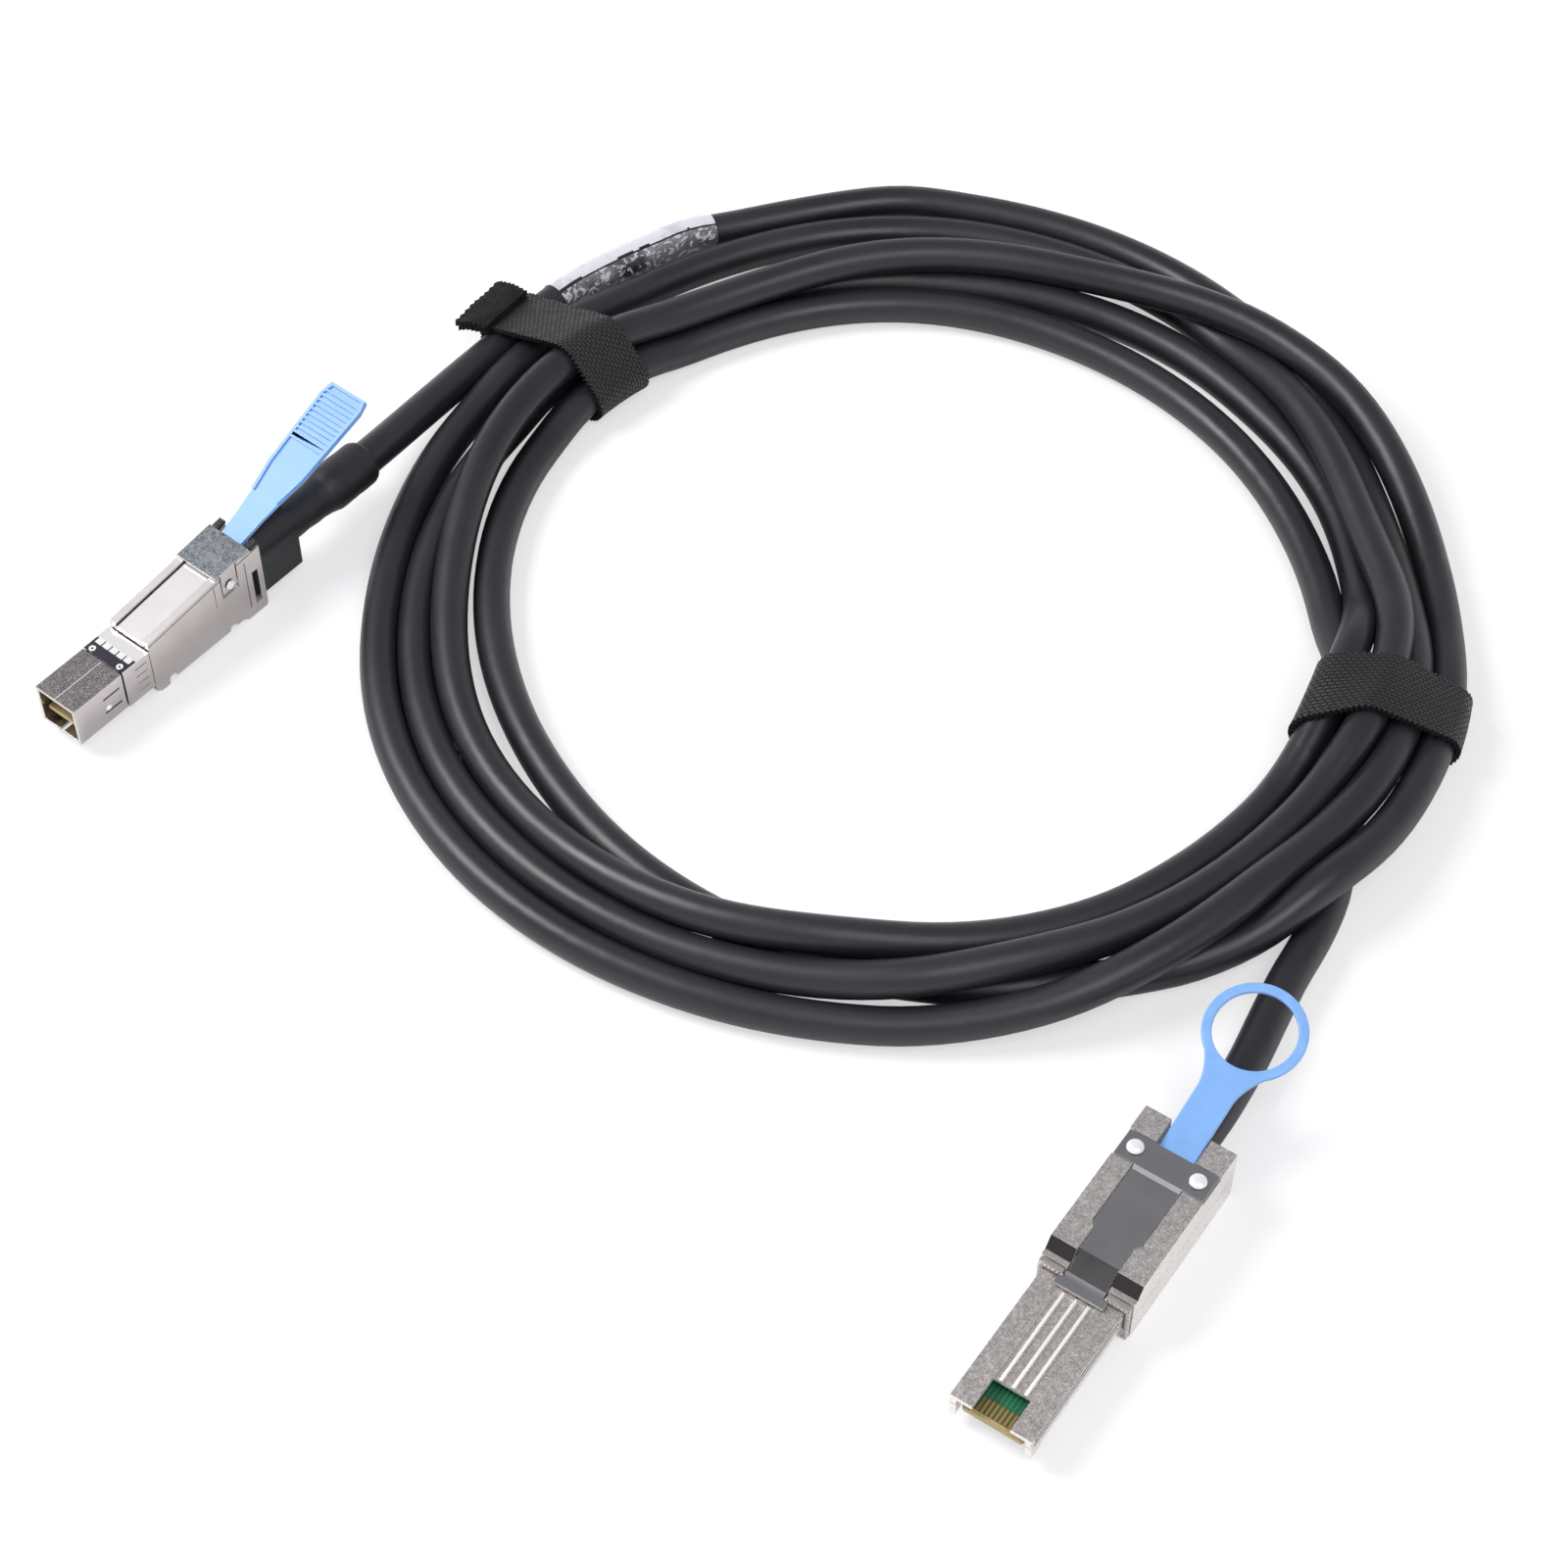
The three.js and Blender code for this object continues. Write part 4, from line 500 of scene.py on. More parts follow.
def turned(profile, sides):
    """A turned shape from radius and height pairs, starting and ending on its axis."""
    bm = bmesh.new()
    rings = []
    for radius, height in profile:
        corners = circle(radius, sides) if radius else [(0, 0)]
        rings.append([bm.verts.new((x, y, height)) for x, y in corners])
    for first, second in zip(rings, rings[1:]):
        for i in range(sides):
            j = (i + 1) % sides
            corners = [first[i % len(first)], first[j % len(first)],
                       second[j % len(second)], second[i % len(second)]]
            bm.faces.new(list(dict.fromkeys(corners)))
    bmesh.ops.recalc_face_normals(bm, faces=bm.faces)
    return bm


def copies_tree():
    """Geometry nodes that set copies of a shape at even steps along a path."""
    tree = bpy.data.node_groups.get("copies_along")
    if tree:
        return tree
    tree = bpy.data.node_groups.new("copies_along", "GeometryNodeTree")
    for name, side, kind in (("Path", "INPUT", "Geometry"), ("Shape", "INPUT", "Object"),
                             ("Count", "INPUT", "Int"), ("Material", "INPUT", "Material"),
                             ("Copies", "OUTPUT", "Geometry")):
        tree.interface.new_socket(name, in_out=side, socket_type="NodeSocket" + kind)
    start, path, even, shape, copies, real, finish, end = [tree.nodes.new(kind) for kind in (
        "NodeGroupInput", "GeometryNodeMeshToCurve", "GeometryNodeResampleCurve",
        "GeometryNodeObjectInfo", "GeometryNodeInstanceOnPoints", "GeometryNodeRealizeInstances",
        "GeometryNodeSetMaterial", "NodeGroupOutput")]
    for source, output, target, socket in (
            (start, "Path", path, "Mesh"), (path, "Curve", even, "Curve"),
            (start, "Count", even, "Count"), (even, "Curve", copies, "Points"),
            (start, "Shape", shape, "Object"), (shape, "Geometry", copies, "Instance"),
            (copies, "Instances", real, "Geometry"), (real, "Geometry", finish, "Geometry"),
            (start, "Material", finish, "Material"), (finish, "Geometry", end, "Copies")):
        tree.links.new(source.outputs[output], target.inputs[socket])
    return tree


def copies_along(name, shape_bm, path, count, finish, plug, nodes=()):
    """Shows copies of a small shape at even steps along a path, in the plug's own millimetres."""
    material = metals()[finish]
    shape = mesh_object(name + "_shape", shape_bm, [material])
    line = bmesh.new()
    points = [line.verts.new(p) for p in path]
    for a, b in zip(points, points[1:]):
        line.edges.new((a, b))
    piece = mesh_object(name, line, [material])
    tree = copies_tree()
    modifier = piece.modifiers.new("copies", "NODES")
    modifier.node_group = tree
    values = {"Shape": shape, "Count": count, "Material": material}
    for item in tree.interface.items_tree:
        if item.in_out == "INPUT" and item.name in values:
            modifier[item.identifier] = values[item.name]
    smooth(settled(piece))
    old = shape.data
    bpy.data.objects.remove(shape)
    bpy.data.meshes.remove(old)
    piece.data.transform(plug_matrix(plug))
    return show(piece, nodes)


def plug_piece(name, bm, finishes, width=0.0, segments=2, rule=None, body=MAIN_BODY):
    """Shows a piece drawn in its plug's own millimetres, put in place, rounded and painted."""
    plug = name.split("_")[0]
    bm.transform(plug_matrix(plug))
    piece = mesh_object(name, bm, [metals()[finish] for finish in finishes])
    if width:
        rounded(piece, width, segments)
    if rule:
        paint(piece, plug, rule)
    return show(piece, (), body)


def tube(name, points, radii, sides, materials):
    """A closed tube along points in metres, whose radius depends on the point and the angle."""
    bm = bmesh.new()
    rings = []
    for i, point in enumerate(points):
        ahead = (points[min(i + 1, len(points) - 1)] - points[max(i - 1, 0)]).normalized()
        side = (Vector((0, 0, 1)).cross(ahead)).normalized()
        up = ahead.cross(side)
        ring = []
        for k in range(sides):
            a = 2 * math.pi * k / sides
            radius = radii(i, a)
            spot = point + side * (radius * math.cos(a)) + up * (radius * math.sin(a))
            ring.append(bm.verts.new(spot))
        rings.append(ring)
    for first, second in zip(rings, rings[1:]):
        wall(bm, first, second)
    bm.faces.new(list(reversed(rings[0])))
    bm.faces.new(rings[-1])
    bmesh.ops.recalc_face_normals(bm, faces=bm.faces)
    return mesh_object(name, bm, materials, 50.0)


# Cable route

def strap_lift(degrees):
    """How far a strap under the bundle lifts it near each strap."""
    lift = 0.0
    for at in STRAP_ANGLES:
        away = (degrees - at + 180) % 360 - 180
        lift = max(lift, STRAP_LIFT * math.exp(-((away / STRAP_LIFT_SPREAD) ** 4)))
    return lift


def coil_point(degrees, lane, level):
    a = math.radians(degrees)
    oval = 1 / math.hypot(math.cos(a) / COIL_OVAL[0], math.sin(a) / COIL_OVAL[1])
    radius = oval + lane * JACKET_D
    height = (0.5 + level) * JACKET_D + strap_lift(degrees)
    return (COIL_CENTRE[0] + radius * math.cos(a), COIL_CENTRE[1] + radius * math.sin(a), height)


def eased(values, spread):
    """Values with their short wiggles smoothed out."""
    reach = int(4 * spread) + 1
    weights = np.exp(-0.5 * (np.arange(-reach, reach + 1) / spread) ** 2)
    before = 2 * values[0] - values[reach:0:-1]
    after = 2 * values[-1] - values[-2:-reach - 2:-1]
    return np.convolve(np.concatenate([before, values, after]), weights / weights.sum(), "valid")


def turn_points(step=7.5):
    """The turns as points, smoothed between the places in TURNS."""
    places = []
    turned_back = 0
    last = None
    for degrees, lane, level in (place for turn in TURNS for place in turn):
        degrees += turned_back
        if last is not None and degrees > last:
            turned_back -= 360
            degrees -= 360
        places.append((degrees, lane, level))
        last = degrees
    table = np.array(places)
    angle = table[:, 0]
    wanted = np.append(np.arange(angle[0], angle[-1], -step), angle[-1])
    columns = []
    for column in (1, 2):
        value = table[:, column]
        slope = np.gradient(value, angle)
        i = np.clip(np.searchsorted(-angle, -wanted, side="right") - 1, 0, len(angle) - 2)
        span = angle[i + 1] - angle[i]
        t = (wanted - angle[i]) / span
        columns.append((2 * t**3 - 3 * t**2 + 1) * value[i] + (t**3 - 2 * t**2 + t) * span * slope[i]
                       + (3 * t**2 - 2 * t**3) * value[i + 1] + (t**3 - t**2) * span * slope[i + 1])
    lanes = eased(columns[0], 1.2)
    levels = eased(np.clip(columns[1], 0, 1.6), 1.0)
    return [coil_point(*place) for place in zip(wanted, lanes, levels)]


def even_curve(points, step):
    """Points at even steps on a smooth curve through the given ones."""
    p = np.array(points, float)
    p = np.vstack([2 * p[0] - p[1], p, 2 * p[-1] - p[-2]])
    fine = []
    for i in range(1, len(p) - 2):
        p0, p1, p2, p3 = p[i - 1:i + 3]
        t1 = np.linalg.norm(p1 - p0) ** 0.5
        t2 = t1 + np.linalg.norm(p2 - p1) ** 0.5
        t3 = t2 + np.linalg.norm(p3 - p2) ** 0.5
        t = np.linspace(t1, t2, 24, endpoint=False)[:, None]
        a1 = (t1 - t) / t1 * p0 + t / t1 * p1
        a2 = (t2 - t) / (t2 - t1) * p1 + (t - t1) / (t2 - t1) * p2
        a3 = (t3 - t) / (t3 - t2) * p2 + (t - t2) / (t3 - t2) * p3
        b1 = (t2 - t) / t2 * a1 + t / t2 * a2
        b2 = (t3 - t) / (t3 - t1) * a2 + (t - t1) / (t3 - t1) * a3
        fine.append((t2 - t) / (t2 - t1) * b1 + (t - t1) / (t2 - t1) * b2)
    fine = np.vstack([*fine, p[-2:-1]])
    run = np.append(0, np.cumsum(np.linalg.norm(np.diff(fine, axis=0), axis=1)))
    wanted = np.linspace(0, run[-1], int(round(run[-1] / step)) + 1)
    return np.stack([np.interp(wanted, run, fine[:, k]) for k in range(3)], 1)


def nearest(route, point):
    return int(np.argmin(np.linalg.norm(route - np.array(point), axis=1)))


def cable_route():
    """The cable's centre line, eased step by step, pushing strands apart and keeping them off the floor.
    """
    start = [placed("tall", BOOT_END_X, TALL_CABLE_Z),
             placed("tall", BOOT_END_X - 14, TALL_CABLE_Z - 0.6)]
    finish = [placed("wide", -1.5, WIDE_CABLE_Z), placed("wide", 1.6, WIDE_CABLE_Z)]
    chosen = start + LEFT_LEAD + LABEL_PATH + turn_points() + RIGHT_LEAD[::-1] + finish
    route = even_curve(chosen, ROUTE_STEP)
    count = len(route)
    first = nearest(route[:LEFT_STEPS], LABEL_PATH[-1])
    last = count - RIGHT_STEPS + nearest(route[-RIGHT_STEPS:], RIGHT_LEAD[-1])
    free = np.zeros((count, 1))
    free[first + NEIGHBOURS:last - NEIGHBOURS + 1] = 1
    for k in range(NEIGHBOURS):
        free[first + k] = free[last - k] = k / NEIGHBOURS
    target = route.copy()
    order = np.arange(count)
    apart = np.abs(order[:, None] - order[None]) > NEIGHBOURS
    angles = np.degrees(np.arctan2(route[:, 1] - COIL_CENTRE[1], route[:, 0] - COIL_CENTRE[0]))
    floor = np.array([JACKET_D / 2 + strap_lift(a) for a in angles])
    for step in range(SETTLE_STEPS):
        pull = SETTLE_PULLS[0] if step < 0.7 * SETTLE_STEPS else SETTLE_PULLS[1]
        route = route + free * (target - route) * np.array([pull, pull, pull * 0.67])
        route[:, 2] -= free[:, 0] * SETTLE_SAG
        gap = route[:, None] - route[None]
        square = (gap * gap).sum(2)
        i, j = np.nonzero((square < JACKET_D**2) & apart)
        distance = np.sqrt(square[i, j])[:, None] + 1e-6
        push = np.zeros_like(route)
        touching = np.zeros((count, 1))
        np.add.at(push, i, gap[i, j] / distance * (JACKET_D - distance) * 0.5)
        np.add.at(touching, i, 1)
        push /= np.maximum(touching * 0.6, 1)
        for _ in range(3):
            push[1:-1] = (push[:-2] + 2 * push[1:-1] + push[2:]) / 4
        route = route + free * push * SETTLE_PUSH
        shift = route - target
        smooth_shift = np.stack([eased(shift[:, k], 3.5) for k in range(3)], 1)
        route = route + free * SETTLE_EASE * (smooth_shift - shift)
        for _ in range(3):
            bend = np.zeros_like(route)
            bend[2:-2] = -(route[:-4] - 4 * route[1:-3] + 6 * route[2:-2] - 4 * route[3:-1]
                           + route[4:]) / 16
            route = route + free * bend * SETTLE_STIFFNESS
        route[:, 2] = np.where(free[:, 0] > 0, np.maximum(route[:, 2], floor), route[:, 2])
    return route


ROUTE = cable_route()


# Pieces on the cable

def make_jacket():
    """The jacketed cable as one curve from the boot to the wide plug."""
    cable = settings().cable
    curve = bpy.data.curves.new("cable_jacket", "CURVE")
    curve.dimensions = "3D"
    curve.bevel_depth = cable.diameter / 2
    curve.bevel_resolution = 6
    curve.use_fill_caps = True
    spline = curve.splines.new("POLY")
    spline.points.add(len(ROUTE) - 1)
    spline.points.foreach_set("co", np.hstack([ROUTE * MM, np.ones((len(ROUTE), 1))]).ravel())
    curve.materials.append(jacket_finish("cable_jacket", cable.jacket, cable.ripple))
    return linked("cable_jacket", curve)


def make_sleeve():
    """Heat-shrink sleeve with its crimp bulge."""
    steps = 57
    run = even_curve(ROUTE[:12], SLEEVE_LENGTH / (steps - 1) / 2)[:2 * steps:2]
    points = [Vector(p) * MM for p in run[:steps]]
    stops = (0, 0.36, 0.44, 0.50, 0.56, 0.95, 0.98, 1)
    sizes = (4.95, 4.95, 5.1, 5.6, 5.9, 5.85, 5.7, 4.7)

    def radius(i, a):
        share = i / (steps - 1)
        size = float(np.interp(share, stops, sizes))
        here = Vector((math.cos(a) * 1.3, math.sin(a) * 1.3, share * 9))
        return (size + 0.13 * noise.noise(here) + 0.05 * noise.noise(here * 3)) * MM

    rubber = moulded_finish("heat_shrink", settings().cable.sleeve, 0.5, 0.5, 0.03)
    return tube("heat_shrink", points, radius, 40, [rubber])


def make_label():
    """Film wrapped round the cable, white on the coil's outside and clear towards its inside."""
    first = nearest(ROUTE[:LEFT_STEPS], LABEL_PATH[0])
    last = nearest(ROUTE[:LEFT_STEPS], LABEL_PATH[-1])
    steps = 60
    run = even_curve(ROUTE[first - 1:last + 2], 0.25)
    run = run[np.linspace(0, len(run) - 1, steps).astype(int)]
    points = [Vector(p) * MM for p in run]

    def radius(i, a):
        share = i / (steps - 1)
        here = Vector((math.cos(a) * 2.2, math.sin(a) * 2.2, share * 11))
        crease = abs(noise.noise(here)) + 0.3 * abs(noise.noise(here * 2.3))
        crinkled = 1.0 if LABEL_EDGE < math.degrees(a) < 300 else 0.12
        return (JACKET_D / 2 + 0.18 + 0.3 * crease * crinkled) * MM

    colour = settings().cable.label
    piece = tube("label_wrap", points, radius, 60,
                 [film_finish("label_film", colour), clear_wrap_finish("label_clear", colour),
                  jacket_finish("label_gap", settings().cable.jacket, 0.0001, 0.2)])
    centre = Vector((*COIL_CENTRE, 0)) * MM
    centres = np.array([p[:2] for p in points])
    for face in piece.data.polygons:
        middle = points[int(np.argmin(np.linalg.norm(centres - np.array(face.center[:2]), axis=1)))]
        outward = (middle - centre).normalized()
        outward.z = 0
        offset = face.center - middle
        around = math.degrees(math.atan2(offset.z, offset.dot(outward)))
        if LABEL_START < around < LABEL_EDGE:
            face.material_index = 0
        else:
            face.material_index = 2 if LABEL_EDGE <= around < LABEL_EDGE + LABEL_GAP else 1
    return piece


def strands_at(section, offset=0.0):
    """Where every strand crosses a strap's upright section, and how high it is there."""
    x, y, degrees = section
    a = math.radians(degrees)
    along = (ROUTE[:, 0] - x) * math.cos(a) + (ROUTE[:, 1] - y) * math.sin(a)
    across = -(ROUTE[:, 0] - x) * math.sin(a) + (ROUTE[:, 1] - y) * math.cos(a) - offset
    found = []
    for i in np.nonzero(across[:-1] * across[1:] <= 0)[0]:
        t = across[i] / (across[i] - across[i + 1])
        reach = along[i] + t * (along[i + 1] - along[i])
        if abs(reach) < 45:
            found.append((reach, ROUTE[i, 2] + t * (ROUTE[i + 1, 2] - ROUTE[i, 2])))
    return found


def section_point(section, reach, offset, z):
    """A point of a strap's section in metres."""
    x, y, degrees = section
    a = math.radians(degrees)
    return Vector((x + reach * math.cos(a) - offset * math.sin(a),
                   y + reach * math.sin(a) + offset * math.cos(a), z)) * MM


def bundle_outline(section, offset, clearance, count):
    """An even, closed outline that a taut band takes round the strands, and its length."""
    around = circle(JACKET_D / 2 + clearance, 40)
    points = sorted({(r + x, max(z + y, clearance * 0.5))
                     for r, z in strands_at(section, offset) for x, y in around})

    def half(points):
        chain = []
        for p in points:
            while len(chain) > 1 and ((chain[-1][0] - chain[-2][0]) * (p[1] - chain[-2][1])
                                      - (chain[-1][1] - chain[-2][1]) * (p[0] - chain[-2][0])) <= 0:
                chain.pop()
            chain.append(p)
        return chain[:-1]

    hull = np.array(half(points) + half(points[::-1]))
    start = int(np.argmin(hull[:, 1] * 0.2 - hull[:, 0]))
    hull = np.vstack([hull[start:], hull[:start + 1]])
    run = np.append(0, np.cumsum(np.linalg.norm(np.diff(hull, axis=0), axis=1)))
    wanted = np.linspace(0, run[-1], count, endpoint=False)
    return np.stack([np.interp(wanted, run, hull[:, k]) for k in (0, 1)], 1), run[-1]


def make_strap(name, section):
    """A woven band round the bundle, with cut threads along both edges."""
    strap = settings().strap
    thick = strap.thickness / MM
    width = strap.width / MM
    stations = 9
    length = bundle_outline(section, 0.0, STRAP_CLEARANCE, 50)[1]
    count = int(length / (strap.tooth / MM) * 2) // 2 * 2
    bm = bmesh.new()
    uv = bm.loops.layers.uv.new("band")
    grids = []
    for clearance in (STRAP_CLEARANCE, STRAP_CLEARANCE + thick):
        grid = []
        for k in range(stations):
            offset = (k / (stations - 1) - 0.5) * width
            outline = bundle_outline(section, offset, clearance, count)[0]
            row = []
            for i, (r, z) in enumerate(outline):
                tooth = 0.0
                if k in (0, stations - 1):
                    tooth = (STRAP_TOOTH if i % 2 else -STRAP_TOOTH) * (1 if k else -1)
                row.append(bm.verts.new(section_point(section, r, offset + tooth, max(z, 0.25))))
            grid.append(row)
        grids.append(grid)
    scale = length / count

    def quad(verts, i, low, high, index):
        face = bm.faces.new(verts)
        face.material_index = index
        left, right = i * scale, (i + 1) * scale
        for loop, where in zip(face.loops, ((left, low), (right, low), (right, high), (left, high))):
            loop[uv].uv = where

    for index, grid in ((1, grids[0]), (0, grids[1])):
        for k in range(stations - 1):
            low, high = k * width / (stations - 1), (k + 1) * width / (stations - 1)
            for i in range(count):
                j = (i + 1) % count
                quad((grid[k][i], grid[k][j], grid[k + 1][j], grid[k + 1][i]), i, low, high, index)
    inner, outer = grids
    for k in (0, stations - 1):
        for i in range(count):
            j = (i + 1) % count
            quad((inner[k][i], inner[k][j], outer[k][j], outer[k][i]), i, 0, thick, 1)
    bmesh.ops.recalc_face_normals(bm, faces=bm.faces)
    return mesh_object(name, bm, FABRICS, 60.0), length


def make_strap_tail():
    """The left strap's folded end: two fuzzy layers that stand off the coil's outer side."""
    outer = max(r for r, _ in strands_at(STRAP_SECTIONS["strap_left"])) + JACKET_D / 2
    x, y, degrees = STRAP_SECTIONS["strap_left"]
    section = (x, y, degrees + TAIL_TURN)
    side = settings().strap.width / MM
    bm = bmesh.new()
    uv = bm.loops.layers.uv.new("band")
    columns, rows = 15, 19
    layers = []
    for lift, shift in ((0.0, 0.0), (1.7, 0.6)):
        for skin in (0.0, 1.3):
            grid = []
            for i in range(columns):
                u = i / (columns - 1)
                row = []
                for k in range(rows):
                    v = k / (rows - 1) - 0.5
                    wave = 0.9 * noise.noise(Vector((u * 2.1 + lift, v * 2.4, 3.0)))
                    tooth = TAIL_TOOTH if (i + k) % 2 else -TAIL_TOOTH
                    end_tooth = tooth if i == columns - 1 else 0
                    side_tooth = tooth if k in (0, rows - 1) else 0
                    r = outer - 2.5 + u * (TAIL_LENGTH + shift) + end_tooth
                    across = v * (side + shift + 1.2 * u) + side_tooth
                    z = 10.6 + lift + skin - 3.0 * u * u + wave
                    row.append(bm.verts.new(section_point(section, r, across, z)))
                grid.append(row)
            layers.append(grid)
    for low, high in (layers[0:2], layers[2:4]):
        for grid in (low, high):
            for i in range(columns - 1):
                for k in range(rows - 1):
                    places = ((i, k), (i + 1, k), (i + 1, k + 1), (i, k + 1))
                    face = bm.faces.new([grid[a][b] for a, b in places])
                    for loop, (a, b) in zip(face.loops, places):
                        loop[uv].uv = (a * TAIL_LENGTH / columns, b * side / rows)
        border = [(i, 0) for i in range(columns)] + [(columns - 1, k) for k in range(1, rows)]
        border += [(i, rows - 1) for i in range(columns - 2, -1, -1)]
        border += [(0, k) for k in range(rows - 2, 0, -1)]
        wall(bm, [low[i][k] for i, k in border], [high[i][k] for i, k in border])
    for face in bm.faces:
        face.material_index = 1
    bmesh.ops.recalc_face_normals(bm, faces=bm.faces)
    return mesh_object("strap_left_tail", bm, FABRICS, 60.0)


# The straps' two finishes and the plugs' finishes, filled by the operators
FABRICS = []
MADE = {}


class CABLE_OT_cord(bpy.types.Operator):
    """Make the cable with its sleeve, label and straps."""

    bl_idname = "storage_cable.cord"
    bl_label = "Cable, sleeve, label and straps"

    def execute(self, context):
        cable, strap = settings().cable, settings().strap
        FABRICS[:] = [weave_finish("strap_weave", strap.weave), pile_finish("strap_pile", strap.weave)]
        jacket = make_jacket()
        sleeve = make_sleeve()
        label = make_label()
        left, left_length = make_strap("strap_band_left", STRAP_SECTIONS["strap_left"])
        right, right_length = make_strap("strap_band_right", STRAP_SECTIONS["strap_right"])
        tail = make_strap_tail()
        show(jacket, ["cable_left_lead", "cable_right_lead", "cable_coil"])
        show(sleeve, ["heat_shrink_sleeve"])
        show(label, ["cable_label"])
        show(left, ["strap_left"])
        show(tail, ["strap_left"])
        show(right, ["strap_right"])
        tuple(c * MM for c in ROUTE[0])
        return {"FINISHED"}


def metals():
    """The plugs' finishes, made once."""
    if MADE:
        return MADE
    plug = settings().plug
    brushed = (0.12, PLUGS["wide"][2])
    MADE.update(
        cast_top=cast_metal("cast_grain", plug.cast),
        # Paler, less metallic copy of the cast metal for the wide housing's sides: painted light.
        cast_side=sheet_metal("cast_polished", shade(plug.cast, 1.3), 0.28, metal=0.55),
        # Paler, less metallic copy of the cast metal for the nose ridges: a painted highlight.
        ridge=sheet_metal("cast_ridge", shade(plug.cast, 1.5), 0.3, metal=0.3),
        # Near-black copy of the cast metal for the wide housing's front chamfers: a painted dark
        # reflection.
        cast_dark=sheet_metal("cast_gloss", shade(plug.cast, 0.09), 0.16),
        latch_wide=sheet_metal("latch_satin", (0.36, 0.36, 0.37), 0.3, *brushed),
        latch_dark=sheet_metal("latch_shadow", (0.16, 0.155, 0.155), 0.24, *brushed),
        # Paler copy of the latch sheet for its front bend and steep faces: a painted highlight.
        latch_edge=sheet_metal("latch_edge", (0.56, 0.56, 0.58), 0.25, metal=0.6),
        bright=sheet_metal("rivet_bright", (0.88, 0.88, 0.89), 0.3, metal=0.4),
        plated=sheet_metal("plated_sheet", plug.plated, 0.2),
        # Pale, less metallic plated finish: the whole tall latch plate, and the collar's upward faces,
        # where it is a painted highlight.
        mirror=sheet_metal("plated_mirror", (0.84, 0.82, 0.81), 0.2, metal=0.45),
        # Paler, less metallic copy of the plated sheet for the tall housing's upward faces: painted
        # light on its tops.
        rail=sheet_metal("plated_rail", (0.74, 0.70, 0.68), 0.26, metal=0.6),
        nose_top=cast_metal("nose_grain", (0.30, 0.275, 0.27), 0.4, 0.5, 0.34),
        bracket=cast_metal("bracket_grain", (0.27, 0.285, 0.31), 0.4, 0.4, 0.34),
        foil=sheet_metal("wire_foil", (0.62, 0.64, 0.66), 0.32),
        seal=sheet_metal("gasket_plating", (0.52, 0.49, 0.47), 0.3, metal=0.8),
        black=moulded_finish("black_moulding", (0.012, 0.012, 0.013), 0.4),
        gold=sheet_metal("contact_gold", (0.60, 0.33, 0.12), 0.38),
        trace=moulded_finish("board_trace", (0.022, 0.16, 0.075), 0.3),
        tan=moulded_finish("board_edge", (0.36, 0.28, 0.13), 0.5, 0.3, 0.02),
        board=moulded_finish("board_mask", (0.012, 0.10, 0.045), 0.3),
        tab=moulded_finish("pull_tab", plug.tab, 0.38, 0.35, 0.012, 0.15),
        violet=sheet_metal("collar_band", (0.10, 0.095, 0.12), 0.3),
        boot=moulded_finish("boot_rubber", settings().cable.sleeve, 0.48, 0.5, 0.02))
    return MADE


# Wide plug

NOSE_SIDE_Y = 9.46
NOSE_TOP_Z = 10.02
GASKET_X = 42.3
GASKET_BEADS = 54
CARD_TOP_Z = 6.66
CONTACT_PITCH = 1.05
RIVET_X, RIVET_Y, RIVET_Z = 10.25, 7.4, 15.05
TAB_BEND_X = 6.0
TAB_BOTTOM_Z = 12.1
TAB_THICKNESS = 1.2
TAB_TILT = 13


def wide_card_outline(back, front, half, corner):
    points = [(back, -half), (front - corner, -half)]
    for k in range(1, 6):
        a = -math.pi / 2 + k * math.pi / 12
        points.append((front - corner + corner * math.cos(a), -half + corner + corner * math.sin(a)))
    points += [(x, -y) for x, y in reversed(points)]
    return points


def gasket_path(x):
    """The gasket's bead line round the root of the nose, from one side of the tongue to the other."""
    half = [(x, 5.2, 11.1), (x, 10.0, 11.1), (x, 10.35, 10.6), (x, 10.35, 1.6), (x, 10.0, 1.2)]
    return half + [(x, -y, z) for x, y, z in reversed(half)]


